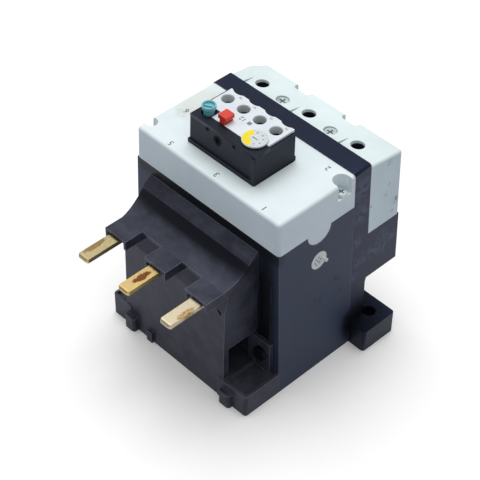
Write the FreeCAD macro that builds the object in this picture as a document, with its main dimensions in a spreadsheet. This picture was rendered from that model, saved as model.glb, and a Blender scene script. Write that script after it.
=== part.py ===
import FreeCAD, Part
import Sketcher
import math
import os

# Thermal overload relay, three poles, with its contactor-side adapter.
# Millimetres. +X runs along the poles towards pole 1, -Y towards the contactor tangs,
# +Y towards the load terminals and +Z out of the front face. The origin lies on the
# mounting face, on the axis of the middle pole.

SIZES = {
    # Outer body: the sides lean in a little from the mounting face to the front.
    "base_width": 97.4,
    "front_width": 90.0,
    "front_wall_reach": 22.0,
    "seam_reach": 24.7,
    "band_reach": 34.9,
    "band_height": 103.2,
    "cover_height": 102.5,
    "cover_seat": 84.6,
    "pole_pitch": 30.2,
    # Heater chambers in the lower housing.
    "chamber_width": 26.0,
    "chamber_front_wall": 2.8,
    "chamber_back_wall": 2.3,
    "floor_wall": 4.0,
    "seat_gap": 0.3,
    "fit_gap": 0.05,
    "slide_channel_depth": 13.9,
    "slide_channel_front": 4.5,
    "slide_channel_back": 8.5,
    "rail_width": 0.8,
    "rail_proud": 1.0,
    "rail_foot": 30.0,
    "inner_rail_place": 35.7,
    "inner_rail_top": 67.7,
    "outer_rail_place": 42.6,
    "outer_rail_top": 65.5,
    # Front cover.
    "cover_wall": 2.0,
    "cover_roof": 2.2,
    "cover_rounding": 1.6,
    "tab_radius": 7.2,
    "tab_place": 2.8,
    "tab_thickness": 1.7,
    "recess_depth": 8.3,
    "recess_place": 42.8,
    "rear_recess_radius": 4.2,
    "rear_recess_reach": 18.3,
    "front_recess_radius": 3.0,
    "front_recess_reach": 15.3,
    "cover_screw_head": 2.6,
    "cover_screw_shank": 1.45,
    "cover_screw_length": 22.0,
    "small_head_height": 1.9,
    # Terminal housing and its feet.
    "block_bottom": 35.0,
    "block_top": 62.5,
    "block_reach": 55.5,
    "gusset_drop": 6.8,
    "gusset_reach": 2.8,
    "foot_height": 12.5,
    "rear_foot_width": 116.4,
    "rear_foot_reach": 45.8,
    "rear_foot_inner": 37.9,
    "mount_hole_edge": 8.8,
    "mount_hole_place": 37.2,
    "mount_hole_radius": 3.3,
    "clamp_room": 17.2,
    "clamp_room_front": 37.2,
    "clamp_room_floor": 37.7,
    # Terminal shroud.
    "corner_cut_width": 5.75,
    "corner_cut_length": 8.8,
    "shroud_fall": 2.5,
    "shroud_step": 1.4,
    "shroud_wall": 2.4,
    "shroud_rounding": 1.5,
    "access_radius": 3.4,
    "access_wall": 1.8,
    "access_foot": 95.4,
    "lobe_gap": 9.6,
    "lobe_depth": 3.8,
    "lobe_rounding": 2.0,
    "slit_offset": 6.2,
    "slit_width": 1.6,
    "slit_start": 35.5,
    "slit_length": 7.4,
    "slit_depth": 1.2,
    "shroud_screw_place": 40.1,
    "shroud_screw_head": 3.0,
    "shroud_screw_sink": 3.4,
    "shroud_screw_length": 52.0,
    # Main terminals.
    "terminal_place": 41.9,
    "load_bar_width": 10.0,
    "bar_thickness": 2.5,
    "bar_room": 2.0,
    "load_bar_end": 50.0,
    "riser_place": 9.0,
    "riser_foot": 24.0,
    "clamp_side_wall": 1.7,
    "clamp_depth": 9.0,
    "clamp_height": 16.0,
    "clamp_floor_wall": 2.0,
    "clamp_roof": 56.0,
    "clamp_roof_wall": 3.5,
    "main_screw_radius": 3.0,
    "main_head_radius": 4.6,
    "main_head_foot": 68.0,
    "main_head_height": 5.0,
    # Line side: tangs, strips and windings.
    "tang_pitch": 27.2,
    "tang_width": 6.55,
    "tang_top": 66.3,
    "tang_tip": 71.5,
    "tang_chamfer": 0.9,
    "riser_width": 9.0,
    "line_riser_back": 14.0,
    "line_riser_foot": 46.0,
    "strip_thickness": 1.0,
    "strip_width": 7.0,
    "strip_place": 2.0,
    "strip_top": 77.0,
    "ribbon_thickness": 0.6,
    "ribbon_height": 1.8,
    "ribbon_pitch": 3.6,
    "ribbon_turns": 6,
    "ribbon_foot": 36.0,
    "ribbon_gap": 0.9,
    # Contactor adapter.
    "adapter_width": 66.8,
    "adapter_flare": 3.2,
    "adapter_foot_reach": 43.0,
    "adapter_front_reach": 42.0,
    "adapter_slope_foot": 55.0,
    "adapter_slope_head": 63.5,
    "adapter_slope_reach": 40.0,
    "adapter_lip_reach": 42.6,
    "adapter_lip_foot": 66.4,
    "ramp_foot": 68.2,
    "ramp_radius": 24.0,
    "ridge_reach": 26.3,
    "ridge_front_height": 76.1,
    "ridge_height": 78.4,
    "hood_pitch": 26.45,
    "hood_width": 13.6,
    "hood_reach": 52.8,
    "hood_foot": 63.2,
    "hood_wall": 1.3,
    "cavity_height": 30.4,
    "cavity_wall": 2.3,
    "cavity_length": 15.0,
    "foot_root": 3.4,
    "front_foot_reach": 43.4,
    "front_foot_left": 42.9,
    "foot_tray_wall": 1.2,
    "foot_tray_depth": 1.6,
    "lug_width": 7.0,
    "lug_reach": 46.0,
    "lug_rounding": 1.6,
    "lug_height": 8.0,
    "lug_place": 36.5,
    "lug_place_left": 28.8,
    "small_lug_place": 16.2,
    "small_lug_reach": 44.3,
    "small_lug_width": 3.6,
    "small_lug_height": 6.5,
    "front_hole_place": 29.4,
    "front_hole_height": 53.0,
    "front_hole_side": 3.4,
    "front_hole_depth": 2.5,
    "ear_height": 29.0,
    "ear_thickness": 2.0,
    "ear_width": 44.0,
    "adapter_screw_place": 38.6,
    "adapter_screw_height": 21.0,
    "adapter_screw_length": 6.0,
    "adapter_screw_head": 3.5,
    # Control module.
    "module_left": 21.7,
    "module_right": 20.4,
    "module_front": 12.6,
    "module_back": 13.3,
    "flange_height": 2.1,
    "module_inset": 0.7,
    "module_rib": 1.7,
    "vent_radius": 0.55,
    "vent_depth": 1.2,
    "vent_drop": 1.3,
    "vent_left": 10.0,
    "vent_right": 6.5,
    "keyhole_place": 3.7,
    "keyhole_drop": 4.0,
    "keyhole_width": 1.4,
    "keyhole_length": 2.8,
    "keyhole_radius": 1.3,
    "module_height": 14.8,
    "module_lean": 0.4,
    "module_slope": 0.9,
    "module_wall": 0.8,
    "module_front_wall": 2.2,
    "module_roof": 2.3,
    "neck_rise": 1.9,
    "window_gap": 0.3,
    "floor_plate": 1.5,
    "plate_thickness": 1.2,
    "plate_left": 21.2,
    "plate_right": 18.2,
    "plate_front": 6.7,
    "plate_front_right": 2.3,
    "plate_back": 13.6,
    "scallop_radius": 5.4,
    "scallop_depth": 1.1,
    "aux_centre": 1.92,
    "aux_pitch": 10.06,
    "aux_place": 7.25,
    "aux_bore": 3.15,
    "aux_plate_drop": 6.5,
    "aux_plate_thickness": 1.0,
    "aux_plate_width": 6.0,
    "aux_washer_width": 5.2,
    "aux_shelf": 2.5,
    "aux_leg_place": 2.6,
    "aux_leg_thickness": 0.8,
    "aux_leg_width": 3.6,
    "aux_clamp_gap": 1.3,
    "aux_clamp_thickness": 1.0,
    "aux_screw_radius": 1.75,
    "aux_head_radius": 2.8,
    "aux_head_height": 2.1,
    "wire_port_width": 5.4,
    "wire_port_height": 4.6,
    # Buttons and dial.
    "reset_x": 16.0,
    "reset_y": 5.0,
    "reset_radius": 3.3,
    "knob_rise": 4.0,
    "knob_sink": 1.3,
    "plunger_radius": 2.2,
    "plunger_reach": 6.3,
    "plunger_stop": 0.8,
    "spigot_radius": 1.3,
    "spigot_length": 4.0,
    "knob_slot_width": 0.9,
    "cup_wall": 1.2,
    "cup_depth": 10.7,
    "cup_floor": 1.5,
    "spring_wire": 0.5,
    "test_x": 6.25,
    "test_y": 3.9,
    "test_cap_width": 4.8,
    "test_cap_depth": 5.3,
    "test_cap_rise": 4.0,
    "test_cap_height": 2.1,
    "test_stem_width": 2.8,
    "test_stem_depth": 5.2,
    "test_collar": 6.0,
    "test_collar_height": 1.0,
    "test_pin": 1.3,
    "test_shelf_drop": 11.0,
    "test_shelf_wall": 1.5,
    "test_pin_reach": 4.0,
    "dial_x": 11.6,
    "dial_y": 4.0,
    "dial_radius": 5.9,
    "dial_thickness": 0.9,
    "dial_lift": 0.3,
    "spindle_radius": 2.0,
    "spindle_drop": 6.7,
    "cam_radius": 2.6,
    "cam_offset": 0.9,
    "cam_height": 2.4,
    # Trip linkage.
    "slide_thickness": 2.0,
    "slide_half_length": 38.0,
    "slide_front": 4.0,
    "slide_back": 8.0,
    "slide_travel": 2.5,
    "lug_thickness": 1.5,
    "lug_rise": 3.2,
    "lug_gap": 0.4,
    "lever_x": 12.0,
    "lever_rise": 4.0,
    "lever_pin_radius": 1.2,
    "lever_hub_radius": 2.6,
    "lever_width": 4.0,
    "lever_arm": 2.4,
    "lever_tip": 77.6,
    "lever_reach": 0.8,
    "ear_gap": 0.4,
    "ear_wall": 2.0,
    "floor_slot_gap": 0.4,
    "floor_slot_swing": 2.4,
    "carrier_x": 1.4,
    "carrier_stem": 2.6,
    "carrier_beam_drop": 7.3,
    "carrier_beam": 1.6,
    "carrier_beam_width": 2.1,
    "carrier_post": 2.0,
    "carrier_travel": 2.0,
    "guide_height": 9.0,
    "bridge_thickness": 0.8,
    "bridge_width": 3.0,
    "contact_drop": 9.3,
    "closing_gap": 0.1,
    "bridge_spread": 1.4,
    "comp_strip_thickness": 0.6,
    "comp_strip_width": 5.0,
    # Round plug in the side wall.
    "plug_radius": 4.7,
    "plug_place": 2.9,
    "plug_height": 67.0,
    "plug_thickness": 1.6,
    "plug_pin": 0.9,
    "plug_pin_offset": 2.6,
    "plug_pin_proud": 2.3,
}

doc = FreeCAD.newDocument("OverloadRelay")
sheet = doc.addObject("Spreadsheet::Sheet", "Sizes")


class Length:
    """A length of the model: the expression it is written as, and its present value."""

    def __init__(self, text, value):
        self.text = text
        self.value = value

    def __add__(self, other):
        other = length(other)
        return Length(f"({self.text} + {other.text})", self.value + other.value)

    def __sub__(self, other):
        other = length(other)
        return Length(f"({self.text} - {other.text})", self.value - other.value)

    def __mul__(self, other):
        other = length(other)
        return Length(f"({self.text} * {other.text})", self.value * other.value)

    def __truediv__(self, other):
        other = length(other)
        return Length(f"({self.text} / {other.text})", self.value / other.value)

    def __radd__(self, other):
        return length(other) + self

    def __rsub__(self, other):
        return length(other) - self

    def __rmul__(self, other):
        return length(other) * self

    def __neg__(self):
        return Length(f"(0 - {self.text})", -self.value)


def length(value):
    if isinstance(value, Length):
        return value
    return Length(f"({value:.6f})", float(value))


class Sheet:
    """The driving sizes, each one a cell of the sheet with its name as alias."""

    def __init__(self, sizes):
        for row, (name, value) in enumerate(sizes.items(), start=1):
            sheet.set(f"A{row}", name)
            sheet.set(f"B{row}", str(value))
            sheet.setAlias(f"B{row}", name)
            setattr(self, name, Length(f"Sizes.{name}", float(value)))


s = Sheet(SIZES)
doc.recompute()

half = 0.5
slope = (s.base_width - s.front_width) / s.band_height * half


# Heights that follow from others, so that a changed size takes along what stands on it.
slide_channel_floor = s.cover_seat - s.slide_channel_depth
recess_floor = s.cover_height - s.recess_depth
neck_foot = s.cover_seat + s.neck_rise
shroud_front_height = s.band_height - s.shroud_step
shroud_back_height = shroud_front_height - s.shroud_fall
load_bar_top = s.clamp_roof - s.bar_room
clamp_floor = s.clamp_roof - s.clamp_height
lever_height = neck_foot + s.lever_rise
mount_hole_reach = s.rear_foot_width * half - s.mount_hole_edge
module_top = s.cover_height + s.module_height
module_ceiling = module_top - s.module_roof
plate_top = module_top + s.plate_thickness
vent_height = module_top - s.vent_drop
keyhole_height = module_top - s.keyhole_drop
reset_top = plate_top + s.knob_rise
reset_foot = module_top - s.knob_sink
cup_foot = reset_foot - s.cup_depth
plunger_foot = cup_foot - s.plunger_reach
test_cap_top = plate_top + s.test_cap_rise
test_shelf = module_ceiling - s.test_shelf_drop
test_foot = test_shelf - s.test_pin_reach
spindle_foot = module_ceiling - s.spindle_drop
aux_plate_height = module_ceiling - s.aux_plate_drop
rest_contact_top = aux_plate_height - s.contact_drop
make_bridge_top = rest_contact_top - s.bridge_spread
carrier_beam_foot = aux_plate_height - s.carrier_beam_drop


def side_at(height):
    """Half width of the body at a height above the mounting face."""
    return s.base_width * half - slope * height


def bind(thing, path, value):
    value = length(value)
    thing.setExpression(path, value.text)


def vector(x, y, z):
    return FreeCAD.Vector(length(x).value, length(y).value, length(z).value)


def origin_plane(body, plane):
    for feature in body.Origin.OriginFeatures:
        if feature.Role == plane + "_Plane":
            return feature


def arc_centre(start, end, radius):
    """Centre of the arc from start to end that turns left for a positive radius."""
    middle = (start + end) * 0.5
    chord = end - start
    reach = math.sqrt(max(radius * radius - chord.Length * chord.Length / 4, 0.0))
    left = FreeCAD.Vector(-chord.y, chord.x, 0).normalize()
    return middle + left * (reach if radius > 0 else -reach)


def add_outline(sketch, points):
    """Closed outline through bound points; a third value makes the edge to it an arc."""
    values = [vector(point[0], point[1], 0) for point in points]
    count = len(points)
    first = sketch.GeometryCount
    edges = []
    for index in range(count):
        following = (index + 1) % count
        start, end = values[index], values[following]
        if len(points[following]) == 2:
            edges.append(Part.LineSegment(start, end))
            continue
        radius = length(points[following][2]).value
        centre = arc_centre(start, end, radius)
        circle = Part.Circle(centre, FreeCAD.Vector(0, 0, 1), abs(radius))
        ends = (start, end) if radius > 0 else (end, start)
        angles = [math.atan2(point.y - centre.y, point.x - centre.x) for point in ends]
        edges.append(Part.ArcOfCircle(circle, angles[0], angles[1]))
    sketch.addGeometry(edges, False)
    turned = [len(points[(index + 1) % count]) == 3
              and length(points[(index + 1) % count][2]).value < 0 for index in range(count)]
    for index in range(count):
        following = (index + 1) % count
        leaving = 1 if turned[index] else 2
        entering = 2 if turned[following] else 1
        sketch.addConstraint(Sketcher.Constraint("Coincident", first + index, leaving,
                                                 first + following, entering))
    for index in range(count):
        corner = 2 if turned[index] else 1
        for kind, value in (("DistanceX", points[index][0]), ("DistanceY", points[index][1])):
            value = length(value)
            place = sketch.addConstraint(Sketcher.Constraint(kind, -1, 1, first + index, corner,
                                                             value.value))
            sketch.setExpression(f"Constraints[{place}]", value.text)
        following = points[(index + 1) % count]
        if len(following) == 2:
            continue
        radius = length(following[2])
        radius = radius if radius.value > 0 else -radius
        chord = values[(index + 1) % count] - values[index]
        if abs(chord.Length - 2 * radius.value) > 1e-6:
            place = sketch.addConstraint(Sketcher.Constraint("Radius", first + index, radius.value))
            sketch.setExpression(f"Constraints[{place}]", radius.text)
            continue
        # The ends of a half circle give its radius, so its centre is bound along its sweep.
        axis = 0 if abs(chord.y) > abs(chord.x) else 1
        middle = (length(points[index][axis]) + length(following[axis])) * half
        kind = ("DistanceX", "DistanceY")[axis]
        place = sketch.addConstraint(Sketcher.Constraint(kind, -1, 1, first + index, 3, middle.value))
        sketch.setExpression(f"Constraints[{place}]", middle.text)


def add_circle(sketch, centre, radius):
    radius = length(radius)
    place = sketch.addGeometry(Part.Circle(vector(centre[0], centre[1], 0),
                                           FreeCAD.Vector(0, 0, 1), radius.value), False)
    for kind, value in (("DistanceX", centre[0]), ("DistanceY", centre[1])):
        value = length(value)
        bound = sketch.addConstraint(Sketcher.Constraint(kind, -1, 1, place, 3, value.value))
        sketch.setExpression(f"Constraints[{bound}]", value.text)
    bound = sketch.addConstraint(Sketcher.Constraint("Radius", place, radius.value))
    sketch.setExpression(f"Constraints[{bound}]", radius.text)


def rectangle(x, y):
    """Outline of a rectangle from two (low, high) pairs."""
    return [(x[0], y[0]), (x[1], y[0]), (x[1], y[1]), (x[0], y[1])]


def circle(x, y, radius):
    return ("circle", x, y, radius)


def body(name):
    made = doc.addObject("PartDesign::Body", name)
    made.Label = name
    return made


def extrude(kind, owner, plane, low, high, outlines):
    """Pad or pocket of outlines drawn on a plane, between two levels along its axis."""
    low, high = length(low), length(high)
    sketch = owner.newObject("Sketcher::SketchObject", owner.Name + "_sketch")
    sketch.AttachmentSupport = [(origin_plane(owner, plane), "")]
    sketch.MapMode = "FlatFace"
    if plane == "XZ":
        level = -high if kind == "Pad" else -low
    else:
        level = low if kind == "Pad" else high
    bind(sketch, "AttachmentOffset.Base.z", level)
    for outline in outlines:
        if outline[0] == "circle":
            add_circle(sketch, outline[1:3], outline[3])
        else:
            add_outline(sketch, outline)
    feature = owner.newObject("PartDesign::" + kind, owner.Name + "_" + kind.lower())
    feature.Profile = sketch
    bind(feature, "Length", high - low)
    sketch.Visibility = False
    return feature


def pad(owner, plane, low, high, *outlines):
    return extrude("Pad", owner, plane, low, high, outlines)


def pocket(owner, plane, low, high, *outlines):
    return extrude("Pocket", owner, plane, low, high, outlines)


def leaning_outline(low, high):
    """Outline of the body across the poles between two heights, with its leaning sides."""
    return [(-side_at(low), low), (side_at(low), low), (side_at(high), high), (-side_at(high), high)]


def dress_edges(kind, owner, size, test):
    """Fillet or chamfer of the edges of the tip for which test(edge) holds."""
    doc.recompute()
    tip = owner.Tip
    names = [f"Edge{number}" for number, edge in enumerate(tip.Shape.Edges, start=1) if test(edge)]
    if not names:
        raise RuntimeError(f"no edge to dress on {owner.Label}")
    feature = owner.newObject("PartDesign::" + kind, owner.Name + "_" + kind.lower())
    feature.Base = (tip, names)
    bind(feature, "Radius" if kind == "Fillet" else "Size", size)
    return feature


def direction(edge):
    ends = edge.Vertexes
    if len(ends) < 2 or edge.Curve.TypeId != "Part::GeomLine":
        return FreeCAD.Vector(0, 0, 0)
    return (ends[1].Point - ends[0].Point).normalize()


def near(value, target, room=0.02):
    return abs(value - length(target).value) < room


def block(name, x, y, z):
    """Part box between three (low, high) pairs."""
    made = doc.addObject("Part::Box", name)
    for path, pair in (("Length", x), ("Width", y), ("Height", z)):
        bind(made, path, length(pair[1]) - length(pair[0]))
    for path, pair in (("x", x), ("y", y), ("z", z)):
        bind(made, "Placement.Base." + path, pair[0])
    return made


def rod(name, axis, centre, low, high, radius):
    """Part cylinder along an axis, between two levels; centre gives the other two places."""
    made = doc.addObject("Part::Cylinder", name)
    turns = {"X": FreeCAD.Rotation(FreeCAD.Vector(0, 1, 0), 90),
             "Y": FreeCAD.Rotation(FreeCAD.Vector(1, 0, 0), -90),
             "Z": FreeCAD.Rotation()}
    made.Placement = FreeCAD.Placement(FreeCAD.Vector(0, 0, 0), turns[axis])
    bind(made, "Radius", radius)
    bind(made, "Height", length(high) - length(low))
    places = {"X": (low, centre[0], centre[1]),
              "Y": (centre[0], low, centre[1]),
              "Z": (centre[0], centre[1], low)}[axis]
    for path, value in zip("xyz", places):
        bind(made, "Placement.Base." + path, value)
    return made


def fuse(name, *parts):
    made = doc.addObject("Part::MultiFuse", name)
    made.Shapes = list(parts)
    made.Refine = True
    made.Label = name
    return made


def cut(name, base, *tools):
    made = doc.addObject("Part::Cut", name)
    made.Base = base
    made.Tool = tools[0] if len(tools) == 1 else fuse(name + "_tools", *tools)
    made.Refine = True
    made.Label = name
    return made


def group(name, *parts):
    """One node of several separate, alike solids."""
    made = doc.addObject("Part::Compound", name)
    made.Links = list(parts)
    made.Label = name
    return made


def named(thing, name):
    thing.Label = name
    return thing


def spread(pitch, count):
    """Places of a row of alike pieces about the middle, from +X to -X."""
    return [pitch * ((count - 1) / 2 - index) for index in range(count)]


pole_places = spread(s.pole_pitch, 3)
tang_places = spread(s.tang_pitch, 3)
hood_places = spread(s.hood_pitch, 3)
aux_places = [place - s.aux_centre for place in reversed(spread(s.aux_pitch, 4))]
tang_foot = s.tang_top - s.bar_thickness
load_bar_foot = load_bar_top - s.bar_thickness
slot_gap = s.seat_gap
tab_outer = side_at(s.cover_seat)
screw_recesses = [(s.recess_place, s.rear_recess_reach, s.rear_recess_radius),
                  (-s.recess_place, -s.front_recess_reach, s.front_recess_radius)]


def around(centre, width):
    return (centre - length(width) * half, centre + length(width) * half)


def make_lower_housing():
    """Open black box with a chamber for each pole, and the slots that the current bars need."""
    made = body("lower_housing")
    front, back = -s.front_wall_reach, s.seam_reach
    pad(made, "XZ", front, back, leaning_outline(length(0), s.cover_seat))
    chamber = (front + s.chamber_front_wall, back - s.chamber_back_wall)
    pocket(made, "XY", s.floor_wall, s.cover_seat,
           *[rectangle(around(x, s.chamber_width), chamber) for x in pole_places])
    channel_end = s.pole_pitch + s.chamber_width * half
    pocket(made, "XY", slide_channel_floor, s.cover_seat,
           rectangle((-channel_end, channel_end), (-s.slide_channel_front, s.slide_channel_back)))
    pocket(made, "XZ", front, front + s.chamber_front_wall,
           *[rectangle(around(x, s.tang_width + 2 * slot_gap), (tang_foot - slot_gap, s.tang_top + slot_gap))
             for x in tang_places])
    pocket(made, "XZ", back - s.chamber_back_wall, back,
           *[rectangle(around(x, s.load_bar_width + 2 * slot_gap),
                       (load_bar_foot - slot_gap, load_bar_top + slot_gap)) for x in pole_places])
    # Pillars for the two cover screws, in opposite corners.
    inner = s.recess_place - s.rear_recess_radius
    outer = channel_end + 1.0
    pad(made, "XY", s.floor_wall, s.cover_seat,
        rectangle((inner, outer), (s.rear_recess_reach - s.rear_recess_radius, chamber[1] + 1.0)),
        rectangle((-outer, -inner), (chamber[0] - 1.0, -s.front_recess_reach + s.front_recess_radius)))
    pocket(made, "XY", recess_floor - s.cover_screw_length, s.cover_seat,
           *[circle(x, y, s.cover_screw_shank + s.fit_gap) for x, y, radius in screw_recesses])
    # Round seats for the cover's side tabs.
    for side in (1, -1):
        inner_face = side * (tab_outer - s.tab_thickness - s.fit_gap * 2)
        outer_face = side * (tab_outer + 1.0)
        low, high = (inner_face, outer_face) if side > 0 else (outer_face, inner_face)
        pocket(made, "YZ", low, high, circle(s.tab_place, s.cover_seat, s.tab_radius + s.fit_gap * 3))
    # Seat and pin bore of the round plug.
    plug_face = side_at(s.plug_height)
    pocket(made, "YZ", plug_face - s.plug_thickness, plug_face + 1.0,
           circle(s.plug_place, s.plug_height, s.plug_radius + s.fit_gap))
    # Rails that key the adapter to the front wall.
    for place, top in ((s.inner_rail_place, s.inner_rail_top), (s.outer_rail_place, s.outer_rail_top)):
        pad(made, "XZ", front - s.rail_proud, front + 0.5,
            rectangle(around(place, s.rail_width), (s.rail_foot, top)))
    pocket(made, "XZ", front, front + s.adapter_screw_length - s.ear_thickness,
           *[circle(side * s.adapter_screw_place, s.adapter_screw_height,
                    s.cover_screw_shank + s.fit_gap) for side in (1, -1)])
    return made


def make_front_cover():
    """Pale moulded cover: a shell with round side tabs, sunk screw seats and the module window."""
    made = body("front_cover")
    front, back = -s.front_wall_reach, s.seam_reach
    pad(made, "XZ", front, back, leaning_outline(s.cover_seat, s.cover_height))
    dress_edges("Fillet", made, s.cover_rounding,
                lambda edge: near(edge.CenterOfMass.z, s.cover_height)
                and not near(edge.CenterOfMass.y, back)
                or near(edge.CenterOfMass.y, front) and abs(direction(edge).z) > 0.9)
    inner = s.front_width * half - s.cover_wall
    room = (front + s.cover_wall, back - s.cover_wall)
    roof = s.cover_height - s.cover_roof
    pocket(made, "XY", s.cover_seat, roof, rectangle((-inner, inner), room))
    rear_reach = s.rear_recess_radius + s.cover_wall * half
    front_reach = s.front_recess_radius + s.cover_wall * half
    boss_inner = s.recess_place - rear_reach
    pad(made, "XY", s.cover_seat + slot_gap, roof + 0.5,
        rectangle((boss_inner, inner + 0.5), (s.rear_recess_reach - rear_reach, room[1] + 0.5)),
        rectangle((-inner - 0.5, -boss_inner), (room[0] - 0.5, -s.front_recess_reach + front_reach)))
    for place, reach, radius in screw_recesses:
        side = 1 if place.value > 0 else -1
        edge = side * (s.base_width * half + 1.0)
        pocket(made, "XY", recess_floor, s.cover_height,
               [(edge, reach + side * radius), (place, reach + side * radius),
                (place, reach - side * radius, radius), (edge, reach - side * radius)])
    pocket(made, "XY", s.cover_seat, recess_floor,
           *[circle(x, y, s.cover_screw_shank + s.fit_gap * 3) for x, y, radius in screw_recesses])
    # Window for the neck of the control module.
    pocket(made, "XY", roof, s.cover_height,
           rectangle((-s.module_left + s.module_inset - s.window_gap,
                      s.module_right - s.module_inset + s.window_gap),
                     (-s.module_front + s.module_inset - s.window_gap,
                      s.module_back - s.module_inset + s.window_gap)))
    for side in (1, -1):
        inner_face = side * (tab_outer - s.tab_thickness)
        outer_face = side * tab_outer
        low, high = (inner_face, outer_face) if side > 0 else (outer_face, inner_face)
        rise = s.cover_seat + s.cover_wall
        pad(made, "YZ", low, high,
            [(s.tab_place - s.tab_radius, s.cover_seat),
             (s.tab_place + s.tab_radius, s.cover_seat, s.tab_radius),
             (s.tab_place + s.tab_radius, rise), (s.tab_place - s.tab_radius, rise)])
    return made


def make_terminal_housing():
    """Black moulding behind the cover: the band wall, the load terminal block and the rear feet."""
    made = body("terminal_housing")
    front, band = s.seam_reach, s.band_reach
    pad(made, "XZ", front, band, leaning_outline(length(0), s.band_height))
    dress_edges("Fillet", made, s.cover_rounding,
                lambda edge: near(edge.CenterOfMass.z, s.band_height) and abs(direction(edge).y) > 0.9)
    pad(made, "XZ", band, s.block_reach, leaning_outline(s.block_bottom, s.block_top))
    gusset = side_at(s.block_bottom)
    gusset_foot = s.block_bottom - s.gusset_drop
    pad(made, "YZ", -gusset, gusset,
        [(band - 0.5, gusset_foot), (band, gusset_foot),
         (band + s.gusset_reach, s.block_bottom), (band + s.gusset_reach, s.block_bottom + 0.5),
         (band - 0.5, s.block_bottom + 0.5)])
    outer = s.rear_foot_width * half
    root = side_at(s.foot_height) - 1.0
    for side in (1, -1):
        pad(made, "XY", 0, s.foot_height,
            [(side * root, front), (side * outer, front), (side * outer, s.rear_foot_reach),
             (side * s.rear_foot_inner, s.rear_foot_reach), (side * s.rear_foot_inner, band - 0.5),
             (side * root, band - 0.5)])
    dress_edges("Fillet", made, s.cover_rounding,
                lambda edge: abs(direction(edge).z) > 0.9
                and near(abs(edge.CenterOfMass.x), outer) and near(edge.CenterOfMass.z, s.foot_height * half))
    # The fixing holes also clear the corner of the band above the feet, for the screw heads.
    pocket(made, "XY", 0, s.block_bottom,
           *[circle(side * mount_hole_reach, s.mount_hole_place, s.mount_hole_radius)
             for side in (1, -1)])
    pocket(made, "XY", s.clamp_room_floor, s.block_top,
           *[rectangle(around(x, s.clamp_room), (s.clamp_room_front, s.block_reach + 1.0))
             for x in pole_places])
    pocket(made, "XZ", front, s.clamp_room_front,
           *[rectangle(around(x, s.load_bar_width + 2 * slot_gap),
                       (load_bar_foot - slot_gap, load_bar_top + slot_gap)) for x in pole_places])
    screw_foot = shroud_front_height - s.shroud_screw_length
    pocket(made, "XY", screw_foot, s.block_top,
           *[circle(side * s.pole_pitch * half, s.shroud_screw_place, s.cover_screw_shank + s.fit_gap)
             for side in (1, -1)])
    return made


def make_terminal_shroud():
    """Pale hood over the load terminals, with a driver bore for each pole."""
    made = body("terminal_shroud")
    front = s.band_reach
    top = shroud_front_height
    reach = s.block_reach
    pad(made, "XZ", front, reach, leaning_outline(s.block_top, top))
    wide_side = side_at(s.block_top) + 1.0
    pocket(made, "YZ", -wide_side, wide_side,
           [(reach + 2.0, shroud_back_height), (reach + 2.0, top + 2.0), (front, top + 2.0),
            (front, top), (reach, shroud_back_height)])
    dress_edges("Fillet", made, s.shroud_rounding,
                lambda edge: edge.CenterOfMass.y > front.value + 0.5
                and edge.CenterOfMass.z > s.block_top.value + 1.0)
    lobe_floor = reach - s.lobe_depth
    for side in (1, -1):
        centre = side * s.pole_pitch * half
        left, right = around(centre, s.lobe_gap)
        back = reach + 2.0
        turn = s.lobe_rounding
        pocket(made, "XY", s.block_top, top,
               [(left, back), (left, lobe_floor + turn), (left + turn, lobe_floor, turn),
                (right - turn, lobe_floor), (right, lobe_floor + turn, turn), (right, back)])
    # The corner at the far end is cut away.
    corner = -side_at(top)
    width, run = s.corner_cut_width, s.corner_cut_length
    pocket(made, "XY", s.block_top, top,
           [(corner - width, reach - 2 * run), (corner + 2 * width, reach + run),
            (corner - width, reach + run)])
    room = (s.clamp_room_front, reach - s.shroud_wall)
    roof = shroud_back_height - s.shroud_wall
    pocket(made, "XY", s.block_top, roof, *[rectangle(around(x, s.clamp_room), room) for x in pole_places])
    tube = s.access_radius + s.access_wall
    pad(made, "XY", s.access_foot, roof + 1.0, *[circle(x, s.terminal_place, tube) for x in pole_places])
    pocket(made, "XY", s.access_foot, top,
           *[circle(x, s.terminal_place, s.access_radius) for x in pole_places])
    screw_seat = top - s.shroud_screw_sink
    pocket(made, "XY", screw_seat, top,
           *[circle(side * s.pole_pitch * half, s.shroud_screw_place, s.shroud_screw_head + s.seat_gap)
             for side in (1, -1)])
    pocket(made, "XY", s.block_top, screw_seat,
           *[circle(side * s.pole_pitch * half, s.shroud_screw_place, s.cover_screw_shank + s.fit_gap * 3)
             for side in (1, -1)])
    pocket(made, "XY", top - s.slit_depth - 1.0, top,
           *[[(x - s.slit_offset - s.slit_width * half, s.slit_start),
              (x - s.slit_offset + s.slit_width * half, s.slit_start),
              (x - s.slit_offset, s.slit_start + s.slit_length)] for x in pole_places])
    return made


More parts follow.
